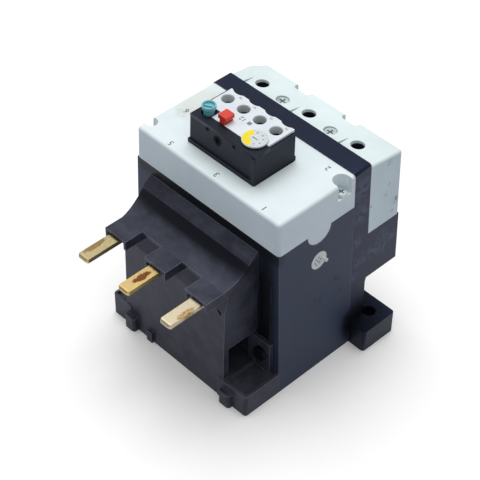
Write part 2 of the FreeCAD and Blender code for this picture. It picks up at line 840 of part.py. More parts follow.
def make_contactor_adapter():
    """Black tower in front of the relay: it carries the tangs under three hoods, and the front feet."""
    made = body("contactor_adapter")
    back = -s.front_wall_reach
    wall = s.adapter_width * half
    profile = [(back, 0), (-s.adapter_foot_reach, 0), (-s.adapter_front_reach, s.adapter_slope_foot),
               (-s.adapter_slope_reach, s.adapter_slope_head), (-s.adapter_lip_reach, s.adapter_lip_foot),
               (-s.adapter_lip_reach, s.ramp_foot),
               (-s.ridge_reach, s.ridge_front_height, s.ramp_radius), (back, s.ridge_height)]
    pad(made, "YZ", -wall - s.adapter_flare, wall, profile)
    # The far end wall flares from the hoods to the ridge.
    pocket(made, "XY", 0, s.ridge_height + 1.0,
           [(-wall - s.adapter_flare, -s.ridge_reach), (-wall, -s.adapter_front_reach),
            (-wall, -s.hood_reach),
            (-wall - s.adapter_flare - 2.0, -s.hood_reach), (-wall - s.adapter_flare - 2.0, -s.ridge_reach)])
    # Hoods: open at the front and below, so that the tangs stand free.
    pad(made, "XY", s.hood_foot, s.ramp_foot,
        *[rectangle(around(x, s.hood_width), (-s.hood_reach, -s.adapter_slope_reach)) for x in hood_places])
    inside = s.hood_width - 2 * s.hood_wall
    pocket(made, "XY", s.hood_foot, s.ramp_foot - s.hood_wall,
           *[rectangle(around(x, inside), (-s.hood_reach - 1.0,
                                           -s.adapter_slope_reach)) for x in hood_places])
    pocket(made, "XZ", -s.adapter_slope_reach - 1.0, back,
           *[rectangle(around(x, s.tang_width + 2 * slot_gap), (tang_foot - slot_gap, s.tang_top + slot_gap))
             for x in tang_places])
    # Open cavities beside the foot of the tower.
    inner = wall - s.cavity_length
    for low, high in ((inner, wall + 1.0), (-wall - s.adapter_flare - 1.0, -inner)):
        pocket(made, "XY", s.foot_height, s.cavity_height,
               rectangle((low, high), (-s.adapter_front_reach + s.cavity_wall, back)))
    core = wall - s.foot_root
    # Front feet: shallow trays, the right one flush with the side of the body.
    right = side_at(0)
    left = s.front_foot_left
    front = -s.front_foot_reach
    pad(made, "XY", 0, s.foot_height,
        rectangle((core, right), (front, back)), rectangle((-left, -core), (front, back)))
    dress_edges("Fillet", made, s.cover_rounding,
                lambda edge: abs(direction(edge).z) > 0.9 and near(edge.CenterOfMass.y, front)
                and near(edge.CenterOfMass.z, s.foot_height * half)
                and (near(edge.CenterOfMass.x, right) or near(edge.CenterOfMass.x, -left)))
    tray = s.foot_tray_wall
    floor = s.foot_height - s.foot_tray_depth
    pocket(made, "XY", floor, s.foot_height,
           rectangle((wall + tray, right - tray), (front + tray, back)),
           rectangle((-left + tray, -wall - s.adapter_flare - tray), (front + tray, back)))
    for place in (s.lug_place, -s.lug_place_left):
        turn = s.lug_rounding
        left_side, right_side = around(place, s.lug_width)
        pad(made, "XY", 0, s.lug_height,
            [(left_side, front + 1.0), (left_side, -s.lug_reach + turn),
             (left_side + turn, -s.lug_reach, turn),
             (right_side - turn, -s.lug_reach), (right_side, -s.lug_reach + turn, turn),
             (right_side, front + 1.0)])
    pad(made, "XY", 0, s.small_lug_height,
        rectangle(around(-s.small_lug_place, s.small_lug_width),
                  (-s.small_lug_reach, -s.adapter_front_reach)))
    # Small three-sided hole in the front wall, right of the last hood.
    spread_half = s.front_hole_side * half
    pocket(made, "XZ", -s.adapter_foot_reach, -s.adapter_front_reach + s.front_hole_depth,
           [(s.front_hole_place - spread_half, s.front_hole_height + spread_half),
            (s.front_hole_place + spread_half, s.front_hole_height - spread_half),
            (s.front_hole_place + spread_half, s.front_hole_height + spread_half)])
    # Ears that the two fixing screws hold against the housing.
    pad(made, "XZ", back - s.ear_thickness, back,
        rectangle((core, s.ear_width), (floor, s.ear_height)),
        rectangle((-s.ear_width, -core), (0, s.ear_height)))
    pocket(made, "XZ", back - s.ear_thickness, back,
           *[circle(side * s.adapter_screw_place, s.adapter_screw_height,
                    s.cover_screw_shank + s.fit_gap * 3) for side in (1, -1)])
    return made


module_side = {
    "left": -s.module_left + s.module_inset,
    "right": s.module_right - s.module_inset,
    "front": -s.module_front + s.module_inset,
    "back": s.module_back - s.module_inset,
}
flange_top = s.cover_height + s.flange_height
reset_axis = (-s.reset_x, -s.reset_y)
test_axis = (-s.test_x, -s.test_y)
dial_axis = (s.dial_x, -s.dial_y)
cup_radius = s.reset_radius + s.seat_gap
cup_floor_top = cup_foot + s.cup_floor
shelf_foot = test_shelf - s.test_shelf_wall
floor_plate_top = neck_foot + s.floor_plate
module_room_front = module_side["front"] + s.module_front_wall
module_room_back = module_side["back"] - s.module_wall
aux_leg_back = s.aux_leg_place + s.aux_leg_thickness
aux_plate_top = aux_plate_height + s.aux_plate_thickness


def make_module_case():
    """Black case of the control module: flange on the cover, neck through the window."""
    made = body("module_case")
    side = module_side
    rib_left = side["right"] - s.module_rib
    pad(made, "XY", s.cover_height, flange_top,
        rectangle((-s.module_left, side["right"]), (-s.module_front, s.module_back)))
    pad(made, "YZ", side["left"], side["right"],
        [(side["front"], flange_top), (side["back"], flange_top), (side["back"], module_top),
         (side["front"] + s.module_slope, module_top),
         (side["front"] + s.module_lean, module_top - s.module_lean)])
    # Upright rib at the near end of the front wall.
    pad(made, "XY", flange_top, module_top - s.module_lean,
        rectangle((rib_left, side["right"]), (-s.module_front, side["front"])))
    pad(made, "XY", neck_foot, s.cover_height,
        rectangle((side["left"], side["right"]), (side["front"], side["back"])))
    wall = s.module_wall
    room = (side["left"] + wall, side["right"] - wall)
    pocket(made, "XY", neck_foot, module_ceiling, rectangle(room, (module_room_front, module_room_back)))
    # Spring cup of the reset button, and the shelf under the test button.
    pad(made, "XY", cup_foot, module_ceiling + 0.5,
        circle(reset_axis[0], reset_axis[1], cup_radius + s.cup_wall))
    pad(made, "XY", shelf_foot, test_shelf,
        rectangle(around(test_axis[0], s.test_collar),
                  (module_room_front - 0.5, test_axis[1] + s.test_stem_depth * half)))
    # Shelf under the control terminals, with a partition between each two.
    pad(made, "XY", aux_plate_height - s.aux_shelf, aux_plate_height,
        rectangle((room[0] - 0.5, room[1] + 0.5), (aux_leg_back + s.fit_gap, module_room_back + 0.5)))
    partition = s.aux_pitch - s.aux_plate_width - 2 * s.seat_gap
    pad(made, "XY", aux_plate_height, module_ceiling + 0.5,
        *[rectangle(around(place + s.aux_pitch * half, partition),
                    (aux_leg_back + s.fit_gap, module_room_back + 0.5)) for place in aux_places[:-1]])
    pocket(made, "XY", aux_plate_height - s.aux_shelf, aux_plate_height,
           *[circle(x, s.aux_place, s.aux_screw_radius + s.fit_gap) for x in aux_places])
    pocket(made, "XY", cup_floor_top, module_top, circle(reset_axis[0], reset_axis[1], cup_radius))
    pocket(made, "XY", cup_foot, cup_floor_top,
           circle(reset_axis[0], reset_axis[1], s.plunger_radius + s.fit_gap))
    pocket(made, "XY", shelf_foot, test_shelf,
           circle(test_axis[0], test_axis[1], s.test_pin + s.fit_gap))
    pocket(made, "XY", module_ceiling, module_top,
           rectangle(around(test_axis[0], s.test_stem_width + 2 * s.fit_gap),
                     around(test_axis[1], s.test_stem_depth + 2 * s.fit_gap)))
    pocket(made, "XY", module_ceiling, module_top,
           circle(dial_axis[0], dial_axis[1], s.spindle_radius + s.fit_gap),
           *[circle(x, s.aux_place, s.aux_bore) for x in aux_places])
    pocket(made, "XZ", module_room_back, side["back"],
           *[rectangle(around(x, s.wire_port_width), (aux_plate_top, aux_plate_top + s.wire_port_height))
             for x in aux_places])
    # Two small holes and a keyhole in the front wall.
    pocket(made, "XZ", side["front"], side["front"] + s.vent_depth + s.module_lean,
           circle(-s.vent_left, vent_height, s.vent_radius), circle(s.vent_right, vent_height, s.vent_radius))
    pocket(made, "XZ", side["front"], side["front"] + s.vent_depth,
           rectangle(around(-s.keyhole_place, s.keyhole_width),
                     (keyhole_height - s.keyhole_length, keyhole_height)))
    pocket(made, "XZ", side["front"], side["front"] + s.vent_depth,
           circle(-s.keyhole_place, keyhole_height, s.keyhole_radius))
    return made


def make_module_floor():
    """Plate that closes the neck from below and carries the pivot of the trip lever."""
    wall = s.module_wall + s.fit_gap
    plate = block("floor_plate", (module_side["left"] + wall, module_side["right"] - wall),
                  (module_room_front + s.fit_gap, module_room_back - s.fit_gap), (neck_foot, floor_plate_top))
    slot = block("floor_slot", (-s.lever_x - s.lever_hub_radius - s.floor_slot_gap,
                                -s.lever_x + s.lever_hub_radius + s.floor_slot_swing),
                 around(length(0), s.lever_width + 2 * s.ear_gap), (neck_foot, floor_plate_top))
    plate = cut("floor_with_slot", plate, slot)
    inner = s.lever_width * half + s.ear_gap
    top = lever_height + s.lever_hub_radius
    reach = inner + s.ear_wall
    spans = ((inner, reach), (-reach, -inner))
    ears = [block(f"floor_ear_{index}", around(-s.lever_x, s.lever_hub_radius * 2), span,
                  (floor_plate_top, top))
            for index, span in enumerate(spans)]
    guides = [block(f"floor_guide_{index}", around(-s.carrier_x, s.carrier_stem), span,
                    (floor_plate_top, floor_plate_top + s.guide_height)) for index, span in enumerate(spans)]
    bore = rod("floor_bore", "Y", (-s.lever_x, lever_height), -reach, reach, s.lever_pin_radius)
    return cut("module_floor", fuse("floor_body", plate, *ears, *guides), bore)


def make_label_plate():
    """White front plate with a scalloped rear edge, cut out round the buttons."""
    made = body("label_plate")
    left, right = -s.plate_left, s.plate_right
    knob_room = s.reset_radius + s.window_gap
    knob_right = reset_axis[0] + knob_room
    knob_back = reset_axis[1] + knob_room
    stem = around(test_axis[0], s.test_stem_width + 2 * s.window_gap)
    stem_back = test_axis[1] + s.test_stem_depth * half + s.window_gap
    # Under the dial the front edge steps back.
    step = dial_axis[0] + s.dial_radius * half
    pad(made, "XY", module_top, plate_top,
        [(left, knob_back), (knob_right, knob_back), (knob_right, -s.plate_front), (stem[0], -s.plate_front),
         (stem[0], stem_back), (stem[1], stem_back), (stem[1], -s.plate_front), (step, -s.plate_front),
         (step, -s.plate_front_right), (right, -s.plate_front_right), (right, s.plate_back),
         (left, s.plate_back)])
    scallop_axis = s.plate_back + s.scallop_radius - s.scallop_depth
    for x in aux_places:
        pocket(made, "XY", module_top, plate_top, circle(x, scallop_axis, s.scallop_radius))
    pocket(made, "XY", module_top, plate_top,
           *[circle(x, s.aux_place, s.aux_bore) for x in aux_places],
           circle(dial_axis[0], dial_axis[1], s.spindle_radius + s.window_gap))
    return made


def make_tang(number, tang_x, pole_x):
    """Flat line tang; inside the housing it turns down to meet the heater ribbon."""
    blade = block(f"tang_blade_{number}", around(tang_x, s.tang_width), (-s.tang_tip, -s.line_riser_back),
                  (tang_foot, s.tang_top))
    riser = block(f"tang_riser_{number}", around(pole_x, s.riser_width),
                  (-s.line_riser_back - s.bar_thickness, -s.line_riser_back), (s.line_riser_foot, s.tang_top))
    solid = fuse(f"tang_solid_{number}", blade, riser)
    doc.recompute()
    tip = [(index, s.tang_chamfer.value, s.tang_chamfer.value)
           for index, edge in enumerate(solid.Shape.Edges, start=1)
           if near(edge.CenterOfMass.y, -s.tang_tip)]
    made = doc.addObject("Part::Chamfer", f"line_tang_{number}")
    made.Base = solid
    made.Edges = tip
    return named(made, f"line_tang_{number}")


def make_load_bar(number, pole_x):
    """Load bar: flat through the terminal, bent down to a foot that holds the bimetal strip."""
    span = around(pole_x, s.load_bar_width)
    flat = block(f"bar_flat_{number}", span, (s.riser_place, s.load_bar_end), (load_bar_foot, load_bar_top))
    riser = block(f"bar_riser_{number}", span, (s.riser_place, s.riser_place + s.bar_thickness),
                  (s.riser_foot, load_bar_top))
    foot = block(f"bar_foot_{number}", span, (s.strip_place - s.strip_width * half, s.riser_place),
                 (s.riser_foot, s.riser_foot + s.bar_thickness))
    return fuse(f"load_bar_{number}", flat, riser, foot)


def make_strip(number, pole_x):
    return named(block(f"bimetal_strip_{number}", around(pole_x, s.strip_thickness),
                       around(s.strip_place, s.strip_width), (s.riser_foot + s.bar_thickness, s.strip_top)),
                 f"bimetal_strip_{number}")


def make_winding(number, pole_x):
    """Heater ribbon: flat turns about the strip, with a lead to the tang and one to the load bar."""
    across = (s.strip_thickness * half + s.ribbon_gap + s.ribbon_thickness * half).value
    along = (s.strip_width * half + s.ribbon_gap + s.ribbon_thickness * half).value
    middle = s.strip_place.value
    level = (s.ribbon_foot + s.ribbon_height * half).value
    pitch = s.ribbon_pitch.value
    x = pole_x.value
    points = [FreeCAD.Vector(x, s.riser_place.value, level), FreeCAD.Vector(x, middle + along, level)]
    # Each turn climbs on its two long sides and stays level on the short ones.
    climbs = ((across, along, 0), (across, -along, 0.5), (-across, -along, 0.5), (-across, along, 1))
    turns = int(s.ribbon_turns.value)
    for turn in range(turns):
        for dx, dy, climb in climbs:
            points.append(FreeCAD.Vector(x + dx, middle + dy, level + pitch * (turn + climb)))
    last = level + pitch * turns
    points.append(FreeCAD.Vector(x + across, middle + along, last))
    points.append(FreeCAD.Vector(x + across, middle - along, last + pitch * 0.5))
    points.append(FreeCAD.Vector(x, middle - along, last + pitch * 0.5))
    points.append(FreeCAD.Vector(x, -s.line_riser_back.value, last + pitch * 0.5))
    path = Part.makePolygon(points)
    wide_half = s.ribbon_thickness.value / 2
    tall_half = s.ribbon_height.value / 2
    start = points[0]
    corners = [start + FreeCAD.Vector(sx * wide_half, 0, sz * tall_half)
               for sx, sz in ((-1, -1), (1, -1), (1, 1), (-1, 1), (-1, -1))]
    profile = Part.makePolygon(corners)
    ribbon = path.makePipeShell([profile], True, False, 1)
    made = doc.addObject("Part::Feature", f"heater_winding_{number}")
    made.Shape = ribbon
    return named(made, f"heater_winding_{number}")


def make_clamp(number, pole_x):
    """Steel cage that the terminal screw draws up against the load bar."""
    inside = around(pole_x, s.load_bar_width + 2 * s.seat_gap)
    outside = (inside[0] - s.clamp_side_wall, inside[1] + s.clamp_side_wall)
    depth = around(s.terminal_place, s.clamp_depth)
    ring = block(f"clamp_ring_{number}", outside, depth, (clamp_floor, s.clamp_roof + s.clamp_roof_wall))
    window = block(f"clamp_window_{number}", inside, depth, (clamp_floor + s.clamp_floor_wall, s.clamp_roof))
    thread = rod(f"clamp_thread_{number}", "Z", (pole_x, s.terminal_place), s.clamp_roof,
                 s.clamp_roof + s.clamp_roof_wall, s.main_screw_radius + s.fit_gap)
    return cut(f"terminal_clamp_{number}", ring, window, thread)


def cross_tool(name, centre, top, reach, width, depth):
    """Cross recess for a screw head seen from +Z."""
    x, y = centre
    long_x = block(name + "_x", around(x, reach * 2), around(y, width), (top - depth, top))
    long_y = block(name + "_y", around(x, width), around(y, reach * 2), (top - depth, top))
    return fuse(name, long_x, long_y)


def make_terminal_screw(number, pole_x):
    centre = (pole_x, s.terminal_place)
    head_top = s.main_head_foot + s.main_head_height
    shank = rod(f"screw_shank_{number}", "Z", centre, load_bar_top + s.seat_gap, s.main_head_foot,
                s.main_screw_radius)
    head = rod(f"screw_head_{number}", "Z", centre, s.main_head_foot, head_top, s.main_head_radius)
    solid = fuse(f"screw_solid_{number}", shank, head)
    tool = cross_tool(f"screw_cross_{number}", centre, head_top, s.main_head_radius * 0.62,
                      s.main_head_radius * 0.25, s.main_head_height * half)
    return cut(f"terminal_screw_{number}", solid, tool)


def make_small_screw(name, centre, head_foot, shank_length, head_radius):
    """Cross-recess screw along Z with a flat round head."""
    head_top = head_foot + s.small_head_height
    head = rod(name + "_head", "Z", centre, head_foot, head_top, head_radius)
    shank = rod(name + "_shank", "Z", centre, head_foot - shank_length, head_foot, s.cover_screw_shank)
    tool = cross_tool(name + "_cross", centre, head_top, head_radius * 0.6, head_radius * 0.25,
                      s.small_head_height * 0.6)
    return cut(name, fuse(name + "_solid", head, shank), tool)


def make_adapter_screw(name, side):
    centre = (side * s.adapter_screw_place, s.adapter_screw_height)
    face = -s.front_wall_reach - s.ear_thickness
    head = rod(name + "_head", "Y", centre, face - s.small_head_height, face, s.adapter_screw_head)
    shank = rod(name + "_shank", "Y", centre, face, face + s.adapter_screw_length - s.fit_gap,
                s.cover_screw_shank)
    return fuse(name, head, shank)


def make_spring(name, axis, radius, foot, top, turns):
    """Coil spring of square wire between two seats."""
    wire = s.spring_wire.value
    height = (top - foot).value - wire
    centre = FreeCAD.Vector(length(axis[0]).value, length(axis[1]).value, foot.value + wire / 2)
    helix = Part.makeHelix(height / turns, height, radius.value)
    helix.translate(centre)
    start = helix.Vertexes[0].Point
    corners = [start + FreeCAD.Vector(dx * wire / 2, 0, dz * wire / 2)
               for dx, dz in ((-1, -1), (1, -1), (1, 1), (-1, 1), (-1, -1))]
    coil = Part.Wire(helix.Edges).makePipeShell([Part.makePolygon(corners)], True, True)
    made = doc.addObject("Part::Feature", name)
    made.Shape = coil
    return named(made, name)


def make_reset_parts():
    """Plunger, turning knob and spring of the blue reset button."""
    stop_top = cup_foot - s.seat_gap
    stem = rod("plunger_stem", "Z", reset_axis, plunger_foot, reset_foot, s.plunger_radius)
    stop = rod("plunger_stop", "Z", reset_axis, stop_top - s.plunger_stop, stop_top,
               s.plunger_radius + s.plunger_stop)
    spigot_top = reset_foot + s.spigot_length
    spigot = rod("plunger_spigot", "Z", reset_axis, reset_foot, spigot_top, s.spigot_radius)
    plunger = fuse("reset_plunger", stem, stop, spigot)
    knob = rod("knob_body", "Z", reset_axis, reset_foot, reset_top, s.reset_radius)
    bore = rod("knob_bore", "Z", reset_axis, reset_foot, spigot_top + s.fit_gap, s.spigot_radius + s.fit_gap)
    slot = block("knob_slot", around(reset_axis[0], s.reset_radius * 1.2),
                 around(reset_axis[1], s.knob_slot_width), (reset_top - s.knob_slot_width, reset_top))
    knob = cut("reset_knob", knob, bore, slot)
    middle = (s.plunger_radius + cup_radius) * half
    spring = make_spring("reset_spring", reset_axis, middle, cup_floor_top + s.fit_gap,
                         reset_foot - s.fit_gap, 5)
    return plunger, knob, spring


def make_test_parts():
    """Red test and off button, with its spring."""
    cap_foot = test_cap_top - s.test_cap_height
    cap = block("test_cap", around(test_axis[0], s.test_cap_width), around(test_axis[1], s.test_cap_depth),
                (cap_foot, test_cap_top))
    collar_top = module_ceiling - s.seat_gap
    collar_foot = collar_top - s.test_collar_height
    stem = block("test_stem", around(test_axis[0], s.test_stem_width),
                 around(test_axis[1], s.test_stem_depth),
                 (collar_foot, cap_foot))
    collar = block("test_collar", around(test_axis[0], s.test_collar),
                   around(test_axis[1], s.test_stem_depth),
                   (collar_foot, collar_top))
    pin = rod("test_pin", "Z", test_axis, test_foot, collar_foot, s.test_pin)
    button = fuse("test_button", cap, stem, collar, pin)
    spring = make_spring("test_spring", test_axis, s.test_pin + s.spring_wire * 1.4,
                         test_shelf + s.fit_gap, collar_foot - s.fit_gap, 5)
    return button, spring


def make_dial_parts():
    """Setting dial and the spindle that turns its cam."""
    foot = plate_top + s.dial_lift
    disc = rod("dial_disc", "Z", dial_axis, foot, foot + s.dial_thickness, s.dial_radius)
    hole = rod("dial_hole", "Z", dial_axis, foot, foot + s.dial_thickness, s.spindle_radius)
    dial = cut("setting_dial", disc, hole)
    stem = rod("spindle_stem", "Z", dial_axis, spindle_foot, foot + s.dial_thickness, s.spindle_radius)
    cam = rod("spindle_cam", "Z", (dial_axis[0] + s.cam_offset, dial_axis[1]), spindle_foot,
              spindle_foot + s.cam_height, s.cam_radius)
    slot = block("spindle_slot", around(dial_axis[0], s.spindle_radius * 1.5), around(dial_axis[1], 0.8),
                 (foot + s.dial_thickness - 0.7, foot + s.dial_thickness))
    return dial, cut("dial_spindle", fuse("spindle_solid", stem, cam), slot)


slide_foot = slide_channel_floor + s.seat_gap
upper_slide_foot = slide_foot + s.slide_thickness + s.seat_gap


def make_slide(name, foot, with_lug):
    """Flat slide across the poles; each slot lets its strip push one way only."""
    plate = block(name + "_plate", (-s.slide_half_length, s.slide_half_length),
                  (-s.slide_front, s.slide_back),
                  (foot, foot + s.slide_thickness))
    near_side = s.strip_thickness * half + s.seat_gap
    slots = [block(f"{name}_slot_{index}", (x - near_side - s.slide_travel, x + near_side),
                   around(s.strip_place, s.strip_width + 2 * s.seat_gap + 0.2),
                   (foot, foot + s.slide_thickness))
             for index, x in enumerate(pole_places)]
    made = cut(name + "_cut" if with_lug else name, plate, *slots)
    if not with_lug:
        return made
    lug_face = -s.lever_x - s.lever_arm * half - s.lug_gap
    top = foot + s.slide_thickness
    lug = block(name + "_lug", (lug_face - s.lug_thickness, lug_face), around(length(0), s.lever_width),
                (top, top + s.lug_rise))
    return fuse(name, made, lug)


def make_trip_lever():
    """Bell crank: the trip slide pushes its lower arm, and its flat arm lifts the contact carrier."""
    centre = (-s.lever_x, lever_height)
    width = around(length(0), s.lever_width)
    hub = rod("lever_hub", "Y", centre, width[0], width[1], s.lever_hub_radius)
    down = block("lever_down", around(-s.lever_x, s.lever_arm), width, (s.lever_tip, lever_height))
    across = block("lever_across", (-s.lever_x, -s.lever_reach), width,
                   around(lever_height, s.lever_arm * 0.75))
    bore = rod("lever_bore", "Y", centre, width[0], width[1], s.lever_pin_radius + s.fit_gap)
    return cut("trip_lever", fuse("lever_solid", hub, down, across), bore)


def make_lever_pin():
    reach = s.lever_width * half + s.ear_gap + s.ear_wall
    return named(rod("lever_pin", "Y", (-s.lever_x, lever_height), -reach, reach, s.lever_pin_radius),
                 "lever_pin")


break_centre = (aux_places[0] + aux_places[1]) * half
make_centre = (aux_places[2] + aux_places[3]) * half
break_bridge_foot = rest_contact_top + s.seat_gap
beam_top = carrier_beam_foot + s.carrier_beam


def make_carrier():
    """Insulating carrier that moves both bridges at once."""
    across = around(length(0), s.carrier_beam_width)
    lift_face = lever_height + s.lever_arm * 0.375 + s.seat_gap
    stem = block("carrier_stem", around(-s.carrier_x, s.carrier_stem), around(length(0), s.lever_width),
                 (lift_face, carrier_beam_foot))
    beam = block("carrier_beam", (break_centre - s.carrier_stem * half, make_centre + s.carrier_stem * half),
                 across, (carrier_beam_foot, beam_top))
    break_post = block("carrier_break_post", around(break_centre, s.carrier_post), across,
                       (break_bridge_foot + s.bridge_thickness, carrier_beam_foot))
    make_post = block("carrier_make_post", around(make_centre, s.carrier_post), across,
                      (make_bridge_top, carrier_beam_foot))
    return fuse("contact_carrier", stem, beam, break_post, make_post)


def make_bridges():
    """Moving bridges: the break contact rests closed, the make contact rests open."""
    reach = s.aux_pitch + s.aux_leg_width * 0.7
    across = around(length(0), s.bridge_width)
    break_bridge = block("break_bridge", around(break_centre, reach), across,
                         (break_bridge_foot, break_bridge_foot + s.bridge_thickness))
    make_bridge = block("make_bridge", around(make_centre, reach), across,
                        (make_bridge_top - s.bridge_thickness, make_bridge_top))
    return group("contact_bridges", break_bridge, make_bridge)


def make_aux_terminal(number, x):
    """Fixed contact: clamp plate under the screw, leg and contact foot in one strip."""
    plate = block(f"aux_plate_{number}", around(x, s.aux_plate_width),
                  (s.aux_leg_place, module_room_back - s.fit_gap), (aux_plate_height, aux_plate_top))
    if number <= 2:
        foot_top = rest_contact_top
        foot_low = foot_top - s.bridge_thickness
    else:
        foot_low = make_bridge_top + s.carrier_travel + s.closing_gap
        foot_top = foot_low + s.bridge_thickness
    leg = block(f"aux_leg_{number}", around(x, s.aux_leg_width), (s.aux_leg_place, aux_leg_back),
                (foot_low, aux_plate_height))
    foot = block(f"aux_foot_{number}", around(x, s.aux_leg_width), (-s.bridge_width * half, aux_leg_back),
                 (foot_low, foot_top))
    thread = rod(f"aux_thread_{number}", "Z", (x, s.aux_place), aux_plate_height, aux_plate_top,
                 s.aux_screw_radius + s.fit_gap)
    return cut(f"aux_terminal_{number}", fuse(f"aux_strip_{number}", plate, leg, foot), thread)


aux_clamp_foot = aux_plate_top + s.aux_clamp_gap
aux_head_foot = aux_clamp_foot + s.aux_clamp_thickness


def make_aux_clamp(number, x):
    washer = block(f"aux_washer_{number}", around(x, s.aux_washer_width),
                   around(s.aux_place, s.aux_washer_width),
                   (aux_clamp_foot, aux_head_foot))
    hole = rod(f"aux_washer_hole_{number}", "Z", (x, s.aux_place), aux_clamp_foot, aux_head_foot,
               s.aux_screw_radius + s.fit_gap)
    return cut(f"aux_clamp_{number}", washer, hole)


def make_aux_screw(number, x):
    centre = (x, s.aux_place)
    top = aux_head_foot + s.aux_head_height
    head = rod(f"aux_head_{number}", "Z", centre, aux_head_foot, top, s.aux_head_radius)
    shank = rod(f"aux_shank_{number}", "Z", centre, aux_plate_height - 2.0, aux_head_foot, s.aux_screw_radius)
    tool = cross_tool(f"aux_cross_{number}", centre, top, s.aux_head_radius * 0.7, s.aux_head_radius * 0.28,
                      s.aux_head_height * half)
    return cut(f"aux_screw_{number}", fuse(f"aux_screw_solid_{number}", head, shank), tool)


def make_compensation_strip():
    """Ambient-compensating strip that stands on the floor plate beside the cam."""
    reach = s.cam_radius + s.cam_offset
    right = dial_axis[0] - reach - s.seat_gap
    return named(block("compensation_strip", (right - s.comp_strip_thickness, right),
                       around(dial_axis[1] - 0.9, s.comp_strip_width),
                       (floor_plate_top, spindle_foot + s.cam_height)), "compensation_strip")


def make_side_plug():
    """Pale round plug in the side wall, with its break-off pin."""
    face = side_at(s.plug_height)
    centre = (s.plug_place, s.plug_height)
    disc = rod("plug_disc", "X", centre, face - s.plug_thickness, face, s.plug_radius)
    pin = rod("plug_stub", "X", (s.plug_place + s.plug_pin_offset, s.plug_height), face,
              face + s.plug_pin_proud, s.plug_pin)
    return fuse("side_plug", disc, pin)


nodes = [make_lower_housing(), make_front_cover(), make_terminal_housing(), make_terminal_shroud(),
         make_contactor_adapter(), make_module_case(), make_module_floor(), make_label_plate()]
for number, (tang_x, pole_x) in enumerate(zip(tang_places, pole_places), start=1):
    nodes.append(make_tang(number, tang_x, pole_x))
    nodes.append(make_strip(number, pole_x))
    nodes.append(make_winding(number, pole_x))
    nodes.append(make_load_bar(number, pole_x))
    nodes.append(make_clamp(number, pole_x))
    nodes.append(make_terminal_screw(number, pole_x))
for number, x in enumerate(aux_places, start=1):
    nodes.append(make_aux_terminal(number, x))
    nodes.append(make_aux_clamp(number, x))
    nodes.append(make_aux_screw(number, x))
nodes.extend(make_reset_parts())
nodes.extend(make_test_parts())
nodes.extend(make_dial_parts())
nodes.append(make_slide("differential_slide", slide_foot, False))
nodes.append(make_slide("trip_slide", upper_slide_foot, True))
nodes.append(make_trip_lever())
nodes.append(make_lever_pin())
nodes.append(make_carrier())
nodes.append(make_bridges())
nodes.append(make_compensation_strip())
nodes.append(make_side_plug())
nodes.append(group("cover_screws", *[
    make_small_screw(f"cover_screw_{number}", recess[:2], recess_floor, s.cover_screw_length,
                     s.cover_screw_head)
    for number, recess in enumerate(screw_recesses, start=1)]))
nodes.append(group("shroud_screws", *[
    make_small_screw(f"shroud_screw_{number}", (side * s.pole_pitch * half, s.shroud_screw_place),
                     shroud_front_height - s.shroud_screw_sink, s.shroud_screw_length - s.shroud_screw_sink,
                     s.shroud_screw_head)
    for number, side in enumerate((1, -1), start=1)]))
nodes.append(group("adapter_screws", *[make_adapter_screw(f"adapter_screw_{number}", side)
                                       for number, side in enumerate((1, -1), start=1)]))

doc.recompute()

for thing in doc.Objects:
    if "Invalid" in thing.State or "Error" in thing.State:
        raise RuntimeError(f"{thing.Label} is {thing.State}")
for owner in doc.findObjects("PartDesign::Body"):
    before = None
    for feature in owner.Group:
        if not feature.isDerivedFrom("PartDesign::Feature"):
            continue
        volume = feature.Shape.Volume
        if before is not None:
            grows = feature.TypeId == "PartDesign::Pad"
            cuts = feature.TypeId == "PartDesign::Pocket"
            if grows and volume < before + 0.001 or cuts and volume > before - 0.001:
                raise RuntimeError(f"{feature.Label} of {owner.Label} changed nothing")
        before = volume
for node in nodes:
    if node.Shape.isNull() or not node.Shape.isValid() or not node.Shape.Solids:
        raise RuntimeError(f"{node.Label} has no sound shape")

os.makedirs("parts", exist_ok=True)
for node in nodes:
    node.Shape.exportStep(f"parts/{node.Label}.step")
    box = node.Shape.BoundBox
    print(f"{node.Label}: {len(node.Shape.Solids)} solids, {node.Shape.Volume:.1f} mm3, "
          f"x {box.XMin:.2f} {box.XMax:.2f}, y {box.YMin:.2f} {box.YMax:.2f}, "
          f"z {box.ZMin:.2f} {box.ZMax:.2f}")
print(f"{len(nodes)} nodes")
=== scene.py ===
import math

import bmesh
import bpy
from mathutils import Matrix, Vector


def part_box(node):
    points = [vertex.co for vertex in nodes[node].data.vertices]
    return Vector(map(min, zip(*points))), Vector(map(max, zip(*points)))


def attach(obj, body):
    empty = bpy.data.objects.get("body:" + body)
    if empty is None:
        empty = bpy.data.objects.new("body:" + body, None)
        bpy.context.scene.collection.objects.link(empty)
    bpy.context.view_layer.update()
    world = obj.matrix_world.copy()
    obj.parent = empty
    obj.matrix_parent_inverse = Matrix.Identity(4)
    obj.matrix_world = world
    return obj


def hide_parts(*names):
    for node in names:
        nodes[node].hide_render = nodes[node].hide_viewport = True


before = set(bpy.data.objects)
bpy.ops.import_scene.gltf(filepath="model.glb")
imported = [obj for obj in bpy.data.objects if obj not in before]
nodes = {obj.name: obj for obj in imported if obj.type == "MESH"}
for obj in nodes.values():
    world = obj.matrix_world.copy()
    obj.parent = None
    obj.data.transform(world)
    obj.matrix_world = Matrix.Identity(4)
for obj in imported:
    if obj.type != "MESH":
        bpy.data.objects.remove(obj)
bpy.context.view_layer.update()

# Three-pole thermal overload relay, its looks. Metres: +X runs along the poles, -Y to the line
# tangs and +Z out of the front face. Sizes in the dictionaries are in millimetres.
mm = 0.001
weldDistance = 0.002 * mm  # corners nearer than this are one
letterScale = 1.38  # size of the font for a capital one unit high
inkRise = 0.012  # half the thickness of printed letters


# colours, nodes and materials

